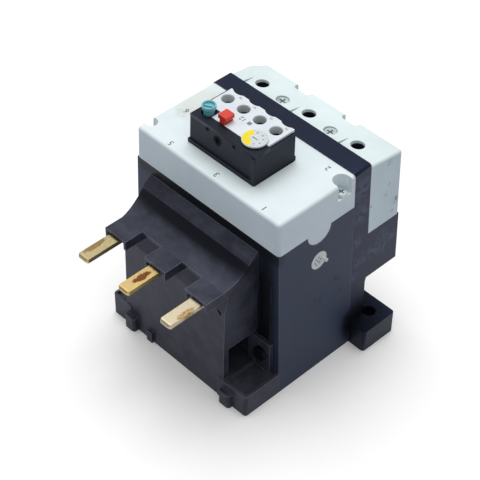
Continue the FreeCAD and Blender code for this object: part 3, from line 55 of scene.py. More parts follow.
def linearColour(hexCode):
    channels = [int(hexCode[at:at + 2], 16) / 255 for at in (1, 3, 5)]
    return [c / 12.92 if c <= 0.04045 else ((c + 0.055) / 1.055) ** 2.4 for c in channels] + [1.0]


def addNode(tree, kind, settings, links=()):
    node = tree.nodes.new(kind)
    for name, value in settings.items():
        if isinstance(name, str) and hasattr(node, name):
            setattr(node, name, value)
        else:
            node.inputs[name].default_value = value
    for name, source in dict(links).items():
        tree.links.new(source, node.inputs[name])
    return node


def newMaterial(name, settings):
    material = bpy.data.materials.new(name)
    material.use_nodes = True
    tree = material.node_tree
    tree.nodes.clear()
    shader = addNode(tree, "ShaderNodeBsdfPrincipled", settings)
    addNode(tree, "ShaderNodeOutputMaterial", {}, {"Surface": shader.outputs[0]})
    place = addNode(tree, "ShaderNodeTexCoord", {}).outputs["Object"]
    return material, tree, shader, place


# How soft the patterns of moulded plastic are: each pair is where one fades in and where it is full.
plasticLook = {"cloud": (0.35, 0.68), "edge": (0.985, 0.86), "speck": (0.05, 0.12), "markShare": 0.25,
               "markGrain": 2.2, "markPatch": (0.42, 0.58), "bandShare": 0.45,
               "roughnessRange": (-0.06, 0.08),
               "gritHeight": 0.03}


def mouldedPlastic(name, finish):
    look = plasticLook
    material, tree, shader, place = newMaterial(name, {
        "IOR": finish["ior"], "Metallic": 0.0, "Specular IOR Level": finish["gloss"],
        "Specular Tint": linearColour(finish["glossColour"])})
    cloud = addNode(tree, "ShaderNodeTexNoise", {
        "Scale": 1 / (finish["cloudSize"] * mm), "Detail": 5.0, "Roughness": 0.6}, {"Vector": place})
    grit = addNode(tree, "ShaderNodeTexNoise", {
        "Scale": 1 / (finish["gritSize"] * mm), "Detail": 2.0}, {"Vector": place})
    tone = addNode(tree, "ShaderNodeMapRange", {"From Min": look["cloud"][0], "From Max": look["cloud"][1]},
                   {"Value": cloud.outputs["Fac"]}).outputs["Result"]
    colour = addNode(tree, "ShaderNodeMix", {
        "data_type": "RGBA", 6: linearColour(finish["colour"]),
        7: linearColour(finish["patchColour"])}, {0: tone}).outputs[2]
    # rubbed edges, and on the adapter and the lower housing also a painted highlight: where the rounded
    # normal departs from the face's own
    rounded = addNode(tree, "ShaderNodeBevel", {"samples": 4, "Radius": finish["edgeWidth"] * mm})
    flat = addNode(tree, "ShaderNodeNewGeometry", {})
    agreement = addNode(tree, "ShaderNodeVectorMath", {"operation": "DOT_PRODUCT"}, {
        0: rounded.outputs["Normal"], 1: flat.outputs["True Normal"]}).outputs["Value"]
    edge = addNode(tree, "ShaderNodeMapRange", {
        "From Min": look["edge"][0], "From Max": look["edge"][1], "To Max": finish["edgeWearAndHighlight"]},
        {"Value": agreement}).outputs["Result"]
    rubAndHighlight = addNode(tree, "ShaderNodeMath", {"operation": "MULTIPLY"}, {
        0: edge, 1: grit.outputs["Fac"]}).outputs["Value"]
    colour = addNode(tree, "ShaderNodeMix", {
        "data_type": "RGBA", 7: linearColour(finish["edgeColour"])}, {0: rubAndHighlight, 6: colour}).outputs[2]
    if finish["speckShare"] > 0:
        cells = addNode(tree, "ShaderNodeTexVoronoi", {
            "Scale": 1 / (finish["speckSpacing"] * mm)}, {"Vector": place})
        near = addNode(tree, "ShaderNodeMapRange", {
            "From Min": look["speck"][0], "From Max": look["speck"][1], "To Min": 1.0, "To Max": 0.0},
            {"Value": cells.outputs["Distance"]}).outputs["Result"]
        chosen = addNode(tree, "ShaderNodeMath", {
            "operation": "LESS_THAN", 1: finish["speckShare"]},
            {0: cells.outputs["Color"]}).outputs["Value"]
        speck = addNode(tree, "ShaderNodeMath", {"operation": "MULTIPLY"},
                        {0: near, 1: chosen}).outputs["Value"]
        colour = addNode(tree, "ShaderNodeMix", {
            "data_type": "RGBA", 7: linearColour(finish["speckColour"])},
            {0: speck, 6: colour}).outputs[2]
    # scuffs and dirt at their places, and on the terminal block lighter patches of painted reflection: a soft
    # ball of noise
    for x, y, z, size, depth in finish["marks"]:
        away = addNode(tree, "ShaderNodeVectorMath", {
            "operation": "DISTANCE", 1: (x * mm, y * mm, z * mm)}, {0: place}).outputs["Value"]
        close = addNode(tree, "ShaderNodeMapRange", {
            "From Min": look["markShare"] * size * mm, "From Max": size * mm, "To Min": depth, "To Max": 0.0},
            {"Value": away}).outputs["Result"]
        grain = addNode(tree, "ShaderNodeTexNoise", {
            "Scale": look["markGrain"] / (size * mm), "Detail": 4.0}, {"Vector": place}).outputs["Fac"]
        patchy = addNode(tree, "ShaderNodeMapRange", {
            "From Min": look["markPatch"][0], "From Max": look["markPatch"][1]},
            {"Value": grain}).outputs["Result"]
        mark = addNode(tree, "ShaderNodeMath", {"operation": "MULTIPLY"},
                       {0: close, 1: patchy}).outputs["Value"]
        colour = addNode(tree, "ShaderNodeMix", {
            "data_type": "RGBA", 7: linearColour(finish["markColour"])}, {0: mark, 6: colour}).outputs[2]
    # long dark bands: dirt on the cover, painted shade in the gaps and under the ridge of the black parts; a
    # stretched ball, without the noise
    for centre, reach, depth in finish["bands"]:
        local = addNode(tree, "ShaderNodeMapping", {
            "Location": [-at / half for at, half in zip(centre, reach)],
            "Scale": [1 / (half * mm) for half in reach]}, {"Vector": place}).outputs["Vector"]
        away = addNode(tree, "ShaderNodeVectorMath", {"operation": "LENGTH"}, {0: local}).outputs["Value"]
        close = addNode(tree, "ShaderNodeMapRange", {
            "From Min": look["bandShare"], "From Max": 1.0, "To Min": depth, "To Max": 0.0},
            {"Value": away}).outputs["Result"]
        colour = addNode(tree, "ShaderNodeMix", {
            "data_type": "RGBA", 7: linearColour(finish["bandColour"])}, {0: close, 6: colour}).outputs[2]
    tree.links.new(colour, shader.inputs["Base Color"])
    rough = addNode(tree, "ShaderNodeMapRange", {
        "To Min": finish["roughness"] + look["roughnessRange"][0],
        "To Max": finish["roughness"] + look["roughnessRange"][1]},
        {"Value": cloud.outputs["Fac"]})
    tree.links.new(rough.outputs["Result"], shader.inputs["Roughness"])
    bump = addNode(tree, "ShaderNodeBump", {
        "Strength": finish["gritDepth"], "Distance": look["gritHeight"] * mm},
        {"Height": grit.outputs["Fac"]})
    tree.links.new(bump.outputs["Normal"], shader.inputs["Normal"])
    return material


# The same for metal: wearGain adds to the cloud inside a worn place and wearLoss takes from it outside.
metalLook = {"worn": (0.5, 1.1), "wearGain": 0.3, "wearLoss": -0.16, "patchSoftness": 0.12,
             "tarnishSoftness": 0.05, "roughnessRange": (-0.1, 0.15), "grainHeight": 0.03}


def metal(name, finish):
    look = metalLook
    material, tree, shader, place = newMaterial(name, {"Metallic": 1.0})
    cloud = addNode(tree, "ShaderNodeTexNoise", {
        "Scale": 1 / (finish["cloudSize"] * mm), "Detail": 6.0, "Roughness": 0.65}, {"Vector": place})
    drawn = addNode(tree, "ShaderNodeMapping", {"Scale": finish["drawScale"]}, {"Vector": place})
    grain = addNode(tree, "ShaderNodeTexNoise", {
        "Scale": 1 / (finish["grainWidth"] * mm), "Detail": 3.0}, {"Vector": drawn.outputs["Vector"]})
    worn = cloud.outputs["Fac"]
    # the plating wears through in one long patch: inside it the threshold is passed sooner
    for x, y, halfWidth, halfLength in finish["wornPlaces"]:
        local = addNode(tree, "ShaderNodeMapping", {
            "Location": (-x / halfWidth, -y / halfLength, 0),
            "Scale": (1 / (halfWidth * mm), 1 / (halfLength * mm), 0)}, {"Vector": place}).outputs["Vector"]
        away = addNode(tree, "ShaderNodeVectorMath", {"operation": "LENGTH"}, {0: local}).outputs["Value"]
        close = addNode(tree, "ShaderNodeMapRange", {
            "From Min": look["worn"][0], "From Max": look["worn"][1], "To Min": look["wearGain"],
            "To Max": look["wearLoss"]},
            {"Value": away}).outputs["Result"]
        worn = addNode(tree, "ShaderNodeMath", {"operation": "ADD"}, {0: worn, 1: close}).outputs["Value"]
    tone = addNode(tree, "ShaderNodeMapRange", {
        "From Min": finish["patchFrom"], "From Max": finish["patchFrom"] + look["patchSoftness"]},
        {"Value": worn}).outputs["Result"]
    colour = addNode(tree, "ShaderNodeMix", {
        "data_type": "RGBA", 6: linearColour(finish["colour"]),
        7: linearColour(finish["patchColour"])}, {0: tone}).outputs[2]
    tarnish = addNode(tree, "ShaderNodeMapRange", {
        "From Min": finish["tarnishFrom"], "From Max": finish["tarnishFrom"] + look["tarnishSoftness"]},
        {"Value": grain.outputs["Fac"]}).outputs["Result"]
    tarnish = addNode(tree, "ShaderNodeMath", {"operation": "MULTIPLY"},
                      {0: tarnish, 1: tone}).outputs["Value"]
    colour = addNode(tree, "ShaderNodeMix", {
        "data_type": "RGBA", 7: linearColour(finish["tarnishColour"])}, {0: tarnish, 6: colour}).outputs[2]
    tree.links.new(colour, shader.inputs["Base Color"])
    rough = addNode(tree, "ShaderNodeMapRange", {
        "To Min": finish["roughness"] + look["roughnessRange"][0],
        "To Max": finish["roughness"] + look["roughnessRange"][1]},
        {"Value": grain.outputs["Fac"]})
    tree.links.new(rough.outputs["Result"], shader.inputs["Roughness"])
    bump = addNode(tree, "ShaderNodeBump", {
        "Strength": finish["grainDepth"], "Distance": look["grainHeight"] * mm},
        {"Height": grain.outputs["Fac"]})
    tree.links.new(bump.outputs["Normal"], shader.inputs["Normal"])
    return material


# Glass-filled polyamide, spark-eroded mould: near black with a blue cast and a dull sheen.
# The erosion pits of about 0.05 mm are drawn at 0.4 mm so that they show.
blackFinish = {"colour": "#1F2430", "patchColour": "#262C39", "edgeColour": "#5B6272",
               "ior": 1.53, "gloss": 0.33, "glossColour": "#C6D4FF", "roughness": 0.42,
               "cloudSize": 14.0, "gritSize": 0.4, "gritDepth": 0.3, "edgeWidth": 0.45, "edgeWearAndHighlight": 0.5,
               "speckShare": 0.0, "speckSpacing": 5.0, "speckColour": "#44474F",
               "marks": [], "markColour": "#15171D", "bands": [], "bandColour": "#07080B"}
# A mark is x, y, z, its radius and its depth. A band is its centre, its half lengths and its depth.
# The adapter is handled most: dull and cloudy, its edges rubbed light, partly wear and partly a painted
# highlight, and a band of painted shade below the ridge.
adapterFinish = dict(blackFinish, colour="#2B2C35", patchColour="#41434E", edgeColour="#9A9EAC", edgeWearAndHighlight=1.0,
                     gloss=0.2, glossColour="#D4DAFF", cloudSize=9.0,
                     # painted shade on the steep face under the ridge's front edge
                     bands=[((-1.5, -29.8, 74.0), (76.0, 6.2, 6.2), 1.0)])
# The lower housing: bluer, with greasy marks on its side, its edges lighter, partly wear and partly a painted
# highlight, and painted shade in the gaps at the cover, the adapter and the foot.
housingFinish = dict(blackFinish, colour="#2C3346", patchColour="#333B4F", edgeColour="#9AA1B2", edgeWearAndHighlight=1.0,
                     gloss=0.2, markColour="#0C0E14",
                     marks=[(47.0, 14.2, 49.0, 3.4, 0.9), (47.0, 2.3, 41.8, 5.0, 0.7),
                            (47.0, 17.0, 46.5, 2.2, 0.8), (47.0, 17.0, 40.0, 2.6, 0.7)],
                     # painted shade: under the cover's front edge, at the foot and beside the adapter
                     bands=[((-6.0, -22.0, 82.5), (86.0, 5.5, 6.5), 1.0),
                            ((47.0, 24.5, 13.0), (6.0, 7.0, 12.0), 1.0),
                            ((38.0, -24.0, 45.0), (9.5, 5.5, 80.0), 1.0)])
# The terminal block and the module come from other moulds: a deeper black, the block blotchy with lighter
# patches of painted reflection, and painted shade round its foot.
blockFinish = dict(blackFinish, colour="#0D1019", patchColour="#171C29", gloss=0.29, glossColour="#9DB4FF",
                   # lighter patches on the side: painted reflection
                   markColour="#3D465E",
                   marks=[(45.5, 30.0, 92.0, 9.0, 1.0), (45.5, 29.5, 78.0, 8.0, 1.0),
                          (45.5, 27.0, 62.0, 6.0, 1.0), (45.5, 30.5, 49.0, 6.0, 1.0),
                          (45.5, 38.5, 49.5, 6.0, 1.0), (45.5, 45.5, 47.5, 5.5, 1.0),
                          (45.5, 50.7, 51.0, 5.0, 1.0), (45.5, 45.0, 55.0, 5.5, 0.9),
                          (45.5, 26.5, 40.0, 5.0, 0.8)],
                   # painted shade round the foot
                   bands=[((45.0, 27.0, 14.0), (24.0, 24.0, 15.0), 1.0)])
moduleFinish = dict(blackFinish, colour="#111318", patchColour="#181A21", gloss=0.25)
# The cover: unfilled pale polyamide, smoother, its edges yellowed by handling.
coverFinish = dict(blackFinish, colour="#E2EEF1", patchColour="#D9E6EA", edgeColour="#ECE6D2",
                   gloss=0.4, glossColour="#FFFFFF", roughness=0.5, cloudSize=22.0, gritDepth=0.1,
                   edgeWidth=1.1, edgeWearAndHighlight=1.1, speckShare=0.05, speckSpacing=6.0, speckColour="#A9ACA6",
                   marks=[(-34.0, 18.0, 102.5, 7.0, 0.35), (-38.0, 0.0, 102.5, 6.0, 0.3),
                          (-30.0, 8.0, 102.5, 7.0, 0.25)],
                   markColour="#A8A695", bands=[((-37.0, 10.0, 102.5), (17.0, 15.0, 3.0), 0.4)],
                   bandColour="#C9C9BC")
# The shroud: another batch, a little greener, with dirt in small marks on its near end.
shroudFinish = dict(coverFinish, bands=[], colour="#DFEDEF", patchColour="#D4E2E3", edgeColour="#DEDCCB",
                    speckShare=0.1, speckSpacing=7.0, speckColour="#7D8985",
                    marks=[(46.0, 47.6, 84.5, 1.3, 0.9), (46.0, 45.6, 79.2, 1.4, 0.7),
                           (46.0, 52.4, 72.5, 3.0, 0.8), (46.0, 35.9, 77.9, 1.1, 1.0),
                           (46.0, 50.4, 66.9, 1.6, 0.6), (45.5, 46.8, 97.4, 2.4, 0.5)],
                    markColour="#6B7674")
# Label plate, buttons and dial: polystyrene and acetal from polished moulds, clean and a little glossy.
plateFinish = dict(coverFinish, bands=[], colour="#DCE4E9", patchColour="#D2DAE1", edgeColour="#E4E6E4",
                   roughness=0.38, cloudSize=9.0, gritDepth=0.05, edgeWidth=0.2,
                   speckShare=0.0, marks=[])
redFinish = dict(plateFinish, colour="#DB3A2A", patchColour="#CB2F21", edgeColour="#E86F5E",
                 roughness=0.4)
blueFinish = dict(plateFinish, colour="#72BCC5", patchColour="#66AEB8", edgeColour="#9CD0D6",
                  roughness=0.42)
dialFinish = dict(plateFinish, colour="#D3D9DC", patchColour="#CAD1D4")
# The plug's broken stub is bare ivory where it tore.
plugFinish = dict(plateFinish, colour="#EBEFEA", patchColour="#DDE2DE", edgeColour="#E4E5DE",
                  roughness=0.5, marks=[(48.9, 5.5, 67.0, 3.2, 1.0)], markColour="#F0EBD6")
sleeveFinish = dict(plateFinish, colour="#D9DEE0", patchColour="#C9CFD1", edgeColour="#E6E9EA", roughness=0.3)
# Slides, lever and carrier: natural polyamide, cream and waxy.
innerFinish = dict(plateFinish, colour="#B9B2A0", patchColour="#AEA793", edgeColour="#C9C3B2",
                   roughness=0.5)
# Pad-printed inks: thin, dull and a little uneven.
greyInkFinish = dict(plateFinish, colour="#6F787C", patchColour="#80898D", edgeColour="#6F787C",
                     roughness=0.6)
# The dark ink also paints the shade of the pits in the side plug.
darkInkAndPitShadeFinish = dict(greyInkFinish, colour="#33373B", patchColour="#44494D")
# Black for the painted shade of the sunk rings round the holes of the module's wall.
paintedShadeFinish = dict(greyInkFinish, colour="#07080A", patchColour="#0B0C0F", edgeColour="#07080A", gloss=0.1)
yellowInkFinish = dict(greyInkFinish, colour="#F0DA14", patchColour="#E6CE10", edgeColour="#F0DA14")
# Tin-silver plated copper blades: pale gold, rubbed through in patches, drawn along the blade.
# Each of the three has aged in its own way.
copperFinish = {"colour": "#DCD0B4", "patchColour": "#C0A06A", "roughness": 0.3,
                "cloudSize": 3.2, "patchFrom": 0.54, "grainWidth": 0.8, "grainDepth": 0.3, "wornPlaces": [],
                "tarnishFrom": 0.6, "tarnishColour": "#4A3722", "drawScale": (1.0, 0.45, 1.0)}


def tangPatch(name, share, width, reach):
    # one patch on the blade's free end: how far out along it, half its width and half its length
    low, high = [[value / mm for value in corner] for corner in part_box(name)]
    return ((low[0] + high[0]) / 2, low[1] + share, width, reach)


nearTangFinish = dict(copperFinish, colour="#B6AC93", patchColour="#A38F69", patchFrom=0.56, tarnishFrom=0.52,
                      tarnishColour="#8A6A42", wornPlaces=[tangPatch("line_tang_1", 10.5, 1.9, 7.0)])
middleTangFinish = dict(copperFinish, colour="#BFA772", patchColour="#6F4527", tarnishFrom=0.6,
                        tarnishColour="#2E1E10", patchFrom=0.56,
                        wornPlaces=[tangPatch("line_tang_2", 11.5, 2.4, 6.0)])
farTangFinish = dict(copperFinish, colour="#B4A67F", patchColour="#907B50", patchFrom=0.5, tarnishFrom=0.62,
                     wornPlaces=[tangPatch("line_tang_3", 8.5, 2.2, 7.5)])
# Zinc-plated steel: cool grey, spangled and dull. Blackened steel: the same, oxide-dark.
zincFinish = dict(copperFinish, colour="#B4C0C2", patchColour="#96A2A2", roughness=0.5,
                  cloudSize=3.0, patchFrom=0.52, tarnishFrom=0.66, tarnishColour="#6B7473",
                  drawScale=(1.0, 1.0, 0.3))
blackenedFinish = dict(zincFinish, colour="#24272D", patchColour="#191B20", tarnishColour="#0F1013")
# Rolled bimetal, resistance ribbon and spring wire: warmer greys, drawn along their length.
stripFinish = dict(zincFinish, colour="#B8B2A6", patchColour="#9C968C", drawScale=(1.0, 1.0, 0.1))
ribbonFinish = dict(zincFinish, colour="#8F8A84", patchColour="#6F655C", roughness=0.5)
springFinish = dict(zincFinish, colour="#A9ABAD", patchColour="#8E9092")

blackPolyamide = mouldedPlastic("blackPolyamide", blackFinish)
scuffedPaintedLightPolyamide = mouldedPlastic("scuffedPaintedLightPolyamide", housingFinish)
rubbedPaintedLightPolyamide = mouldedPlastic("rubbedPaintedLightPolyamide", adapterFinish)
ridgePolyamide = mouldedPlastic("ridgePolyamide", dict(adapterFinish, bands=[]))
blotchyPaintedLightPolyamide = mouldedPlastic("blotchyPaintedLightPolyamide", blockFinish)
deepBlackPolyamide = mouldedPlastic("deepBlackPolyamide", moduleFinish)
palePolyamide = mouldedPlastic("palePolyamide", coverFinish)
greenishPolyamide = mouldedPlastic("greenishPolyamide", shroudFinish)
whiteLabelPlastic = mouldedPlastic("whiteLabelPlastic", plateFinish)
redAcetal = mouldedPlastic("redAcetal", redFinish)
blueAcetal = mouldedPlastic("blueAcetal", blueFinish)
whiteAcetal = mouldedPlastic("whiteAcetal", dialFinish)
greyPlugPlastic = mouldedPlastic("greyPlugPlastic", plugFinish)
greyAcetal = mouldedPlastic("greyAcetal", sleeveFinish)
naturalPolyamide = mouldedPlastic("naturalPolyamide", innerFinish)
greyInk = mouldedPlastic("greyInk", greyInkFinish)
darkInkAndPitShade = mouldedPlastic("darkInkAndPitShade", darkInkAndPitShadeFinish)
yellowInk = mouldedPlastic("yellowInk", yellowInkFinish)
paintedShadeBlack = mouldedPlastic("paintedShadeBlack", paintedShadeFinish)
platedCopper = metal("platedCopper", copperFinish)
brightCopper = metal("brightCopper", nearTangFinish)
stainedCopper = metal("stainedCopper", middleTangFinish)
dulledCopper = metal("dulledCopper", farTangFinish)
zincPlatedSteel = metal("zincPlatedSteel", zincFinish)
blackenedSteel = metal("blackenedSteel", blackenedFinish)
rolledBimetal = metal("rolledBimetal", stripFinish)
resistanceRibbon = metal("resistanceRibbon", ribbonFinish)
springWire = metal("springWire", springFinish)

nodeMaterials = {
    "lower_housing": scuffedPaintedLightPolyamide, "terminal_housing": blotchyPaintedLightPolyamide,
    "contactor_adapter": rubbedPaintedLightPolyamide, "module_case": deepBlackPolyamide,
    "module_floor": blackPolyamide, "front_cover": palePolyamide,
    "terminal_shroud": greenishPolyamide, "label_plate": whiteLabelPlastic,
    "side_plug": greyPlugPlastic, "reset_knob": blueAcetal, "test_button": redAcetal,
    "setting_dial": whiteAcetal, "line_tang_1": brightCopper, "load_bar": platedCopper,
    "line_tang_2": stainedCopper, "line_tang_3": dulledCopper,
    "aux_terminal": platedCopper, "contact_bridges": platedCopper,
    "bimetal_strip": rolledBimetal, "compensation_strip": rolledBimetal,
    "heater_winding": resistanceRibbon, "reset_spring": springWire, "test_spring": springWire,
    "reset_plunger": naturalPolyamide, "dial_spindle": whiteAcetal,
    "trip_slide": naturalPolyamide, "differential_slide": naturalPolyamide,
    "trip_lever": naturalPolyamide, "contact_carrier": naturalPolyamide,
    "lever_pin": zincPlatedSteel, "terminal_clamp": zincPlatedSteel,
    "terminal_screw": zincPlatedSteel, "aux_clamp": zincPlatedSteel,
    # the other control screws take the dark finish, the first keeps zinc: darker at the bottom of their bores
    "aux_screw_1": zincPlatedSteel, "aux_screw": blackenedSteel, "cover_screws": zincPlatedSteel,
    "shroud_screws": zincPlatedSteel, "adapter_screws": blackenedSteel,
}
for nodeName, node in nodes.items():
    family = nodeName if nodeName in nodeMaterials else nodeName.rstrip("0123456789").rstrip("_")
    node.data.materials.clear()
    node.data.materials.append(nodeMaterials[family])
print("materials:", len(set(nodeMaterials.values())), "finishes on", len(nodes), "nodes")

# moulded edges are never sharp: a small rounding on each housing catches the light
edgeRounding = {"lower_housing": 0.35, "terminal_housing": 0.35, "contactor_adapter": 0.35,
                "module_case": 0.25,
                "terminal_shroud": 0.3, "front_cover": 0.3, "label_plate": 0.15, "test_button": 0.45,
                "setting_dial": 0.2, "line_tang_1": 0.55, "line_tang_2": 0.55, "line_tang_3": 0.55}
bevelLook = {"weld": 0.005, "segments": 2, "angle": 40.0}
for nodeName, radius in edgeRounding.items():
    weld = nodes[nodeName].modifiers.new("weld", "WELD")
    weld.merge_threshold = bevelLook["weld"] * mm
    bevel = nodes[nodeName].modifiers.new("rounding", "BEVEL")
    bevel.width = radius * mm
    bevel.segments = bevelLook["segments"]
    bevel.limit_method = "ANGLE"
    bevel.angle_limit = math.radians(bevelLook["angle"])
print("rounding:", len(edgeRounding), "nodes")


# new pieces

def newPiece(name, shape, material, rider):
    mesh = bpy.data.meshes.new(name)
    shape.to_mesh(mesh)
    shape.free()
    mesh.materials.append(material)
    piece = bpy.data.objects.new(name, mesh)
    bpy.context.scene.collection.objects.link(piece)
    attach(piece, rider)
    return piece


def spunShape(profile, axis, steps):
    # profile: (radius, height) pairs from the axis or rim, turned about a line along Z
    shape = bmesh.new()
    corners = [shape.verts.new((axis[0] * mm + radius * mm, axis[1] * mm, height * mm))
               for radius, height in profile]
    edges = [shape.edges.new(pair) for pair in zip(corners, corners[1:])]
    bmesh.ops.spin(shape, geom=corners + edges, cent=(axis[0] * mm, axis[1] * mm, 0), axis=(0, 0, 1),
                   angle=math.tau, steps=steps, use_merge=True)
    bmesh.ops.remove_doubles(shape, verts=shape.verts, dist=weldDistance)
    bmesh.ops.recalc_face_normals(shape, faces=shape.faces)
    return shape


def addDisc(shape, centre, normal, radius, rise):
    # thin round spot standing on a face
    turn = Vector((0, 0, 1)).rotation_difference(Vector(normal)).to_matrix().to_4x4()
    spot = Matrix.Translation(Vector(centre) * mm) @ turn
    made = bmesh.ops.create_circle(shape, cap_ends=True, segments=20, radius=radius * mm, matrix=spot)
    faces = list({face for vert in made["verts"] for face in vert.link_faces})
    lifted = bmesh.ops.extrude_face_region(shape, geom=faces)["geom"]
    corners = [item for item in lifted if isinstance(item, bmesh.types.BMVert)]
    bmesh.ops.translate(shape, verts=corners, vec=Vector(normal) * rise * mm)


def printedWords(name, marks, material, rider):
    # each mark: words, height of the letters, x, y, z, turn about Z
    joined = bmesh.new()
    for words, height, x, y, z, turn in marks:
        curve = bpy.data.curves.new(name, "FONT")
        curve.body = words
        curve.size = height * letterScale * mm
        curve.align_x = "CENTER"
        curve.align_y = "CENTER"
        curve.extrude = inkRise * mm
        curve.resolution_u = 4
        holder = bpy.data.objects.new(name, curve)
        mesh = bpy.data.meshes.new_from_object(holder)
        bpy.data.objects.remove(holder)
        mesh.transform(Matrix.Translation(Vector((x, y, z)) * mm)
                       @ Matrix.Rotation(math.radians(turn), 4, "Z"))
        joined.from_mesh(mesh)
        bpy.data.meshes.remove(mesh)
    return newPiece(name, joined, material, rider)


def joinShape(joined, shape):
    # takes a finished shape into one that holds several
    mesh = bpy.data.meshes.new("joined")
    shape.to_mesh(mesh)
    shape.free()
    joined.from_mesh(mesh)
    bpy.data.meshes.remove(mesh)


def flatPiece(name, outline, hole, low, high, rounding, material):
    # a flat piece with upright walls: outline is a list of corners, hole a centre and a radius
    curve = bpy.data.curves.new(name, "CURVE")
    curve.dimensions = "2D"
    curve.fill_mode = "BOTH"
    rings = [outline]
    if hole:
        x, y, radius = hole
        rings.append([(x + radius * math.cos(turn * math.tau / 48),
                       y + radius * math.sin(turn * math.tau / 48))
                      for turn in range(48)])
    for ring in rings:
        line = curve.splines.new("POLY")
        line.points.add(len(ring) - 1)
        for point, (x, y) in zip(line.points, ring):
            point.co = (x * mm, y * mm, 0, 1)
        line.use_cyclic_u = True
    curve.extrude = ((high - low) / 2 - rounding) * mm
    curve.bevel_depth = rounding * mm
    curve.offset = -rounding * mm
    curve.bevel_resolution = 1
    holder = bpy.data.objects.new(name, curve)
    mesh = bpy.data.meshes.new_from_object(holder)
    bpy.data.objects.remove(holder)
    mesh.transform(Matrix.Translation((0, 0, (low + high) / 2 * mm)))
    shape = bmesh.new()
    shape.from_mesh(mesh)
    bpy.data.meshes.remove(mesh)
    bmesh.ops.remove_doubles(shape, verts=shape.verts, dist=weldDistance)
    bmesh.ops.recalc_face_normals(shape, faces=shape.faces)
    return newPiece(name, shape, material, "relay")


resetAxis = (-16.0, -5.0)  # under the blue knob

# The case stands level with the plate in front of it and round the blue knob.
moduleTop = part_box("label_plate")[0][2] / mm
rimSizes = {"outline": [(-21.02, -11.54), (19.72, -11.54), (19.72, -2.4), (14.65, -2.4), (14.65, -6.8),
                        (-12.5, -6.8), (-12.5, -1.5), (-21.02, -1.5)],
            "farOutline": [(-21.65, -1.45), (-21.22, -1.45), (-21.22, 13.2), (-21.65, 13.2)],
            "hole": (*resetAxis, 3.6), "sink": 0.65, "rise": 1.15, "rounding": 0.1}
flatPiece("frontRim", rimSizes["outline"], rimSizes["hole"], moduleTop - rimSizes["sink"],
          moduleTop + rimSizes["rise"], rimSizes["rounding"], deepBlackPolyamide)
# On the far side the case shows as a dark line beside the plate.
flatPiece("farRim", rimSizes["farOutline"], None, moduleTop, moduleTop + rimSizes["rise"],
          rimSizes["rounding"], deepBlackPolyamide)

# The adapter's top ends in a raised ridge with a clear front edge.
ridgeSizes = {"left": -36.5, "right": 33.3, "rounding": 0.3,
              "profile": [(-22.02, 77.0), (-22.02, 79.7), (-26.5, 76.9), (-27.6, 74.7), (-25.0, 74.0)]}


def makeRidge(sizes):
    shape = bmesh.new()
    section = shape.faces.new([shape.verts.new((sizes["left"] * mm, y * mm, z * mm))
                               for y, z in sizes["profile"]])
    lifted = bmesh.ops.extrude_face_region(shape, geom=[section])["geom"]
    corners = [item for item in lifted if isinstance(item, bmesh.types.BMVert)]
    bmesh.ops.translate(shape, verts=corners, vec=((sizes["right"] - sizes["left"]) * mm, 0, 0))
    bmesh.ops.recalc_face_normals(shape, faces=shape.faces)
    bmesh.ops.bevel(shape, geom=shape.edges[:], offset=sizes["rounding"] * mm, affect="EDGES", segments=2,
                    profile=0.5, material=-1)
    return newPiece("adapterRidge", shape, ridgePolyamide, "relay")


makeRidge(ridgeSizes)

# Numbers on the cover, printed to be read from the load side.
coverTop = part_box("front_cover")[1][2] / mm
coverNumbers = {"height": 3.1, "turn": 180.0, "lift": 0.01,
                "places": {"1": (32.7, -18.5), "3": (3.2, -18.5), "5": (-25.9, -18.8),
                           "2": (33.3, 19.6), "4": (3.4, 19.9), "6": (-37.9, 1.4)}}
printedWords("coverNumbers", [
    (words, coverNumbers["height"], x, y, coverTop + coverNumbers["lift"], coverNumbers["turn"])
    for words, (x, y) in coverNumbers["places"].items()], darkInkAndPitShade, "relay")

# Numbers on the label plate: one at each control terminal, a setting and a square.
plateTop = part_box("label_plate")[1][2] / mm
plateMarks = {"height": 1.35, "turn": 180.0, "lift": 0.01, "settingHeight": 2.5, "setting": (-2.3, 2.3),
              "square": (1.9, 2.2), "squareSide": 2.0, "squareRise": 0.02,
              "places": {"98": (-13.3, 11.7), "97": (-4.4, 11.6), "95": (6.0, 11.5), "96": (15.4, 11.3)}}
printedWords("plateNumbers", [
    (words, plateMarks["height"], x, y, plateTop + plateMarks["lift"], plateMarks["turn"])
    for words, (x, y) in plateMarks["places"].items()], greyInk, "relay")
printedWords("plateSetting", [("12", plateMarks["settingHeight"], *plateMarks["setting"],
                               plateTop + plateMarks["lift"], plateMarks["turn"])],
             darkInkAndPitShade, "relay")


def makePlateSquare(marks):
    shape = bmesh.new()
    bmesh.ops.create_grid(shape, x_segments=1, y_segments=1, size=marks["squareSide"] / 2 * mm,
                          matrix=Matrix.Translation(Vector((*marks["square"], plateTop)) * mm))
    bmesh.ops.solidify(shape, geom=shape.faces[:], thickness=-marks["squareRise"] * mm)
    bmesh.ops.recalc_face_normals(shape, faces=shape.faces)
    return newPiece("plateSquare", shape, greyInk, "relay")


makePlateSquare(plateMarks)

# Setting dial: a yellow stretch, ticks and numbers about the slotted hub.
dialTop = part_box("setting_dial")[1][2] / mm
dialMarks = {"centre": (11.6, -4.0), "inner": 2.4, "outer": 5.6, "from": 141.0, "to": 286.0, "rise": 0.02,
             "tickInner": 4.7, "tickOuter": 5.5, "tickWidth": 0.16, "ticks": 13, "numberRadius": 3.7,
             "numberHeight": 1.0, "numberLift": 0.012, "numbers": ("12", "14", "16", "18", "20"), "steps": 24}


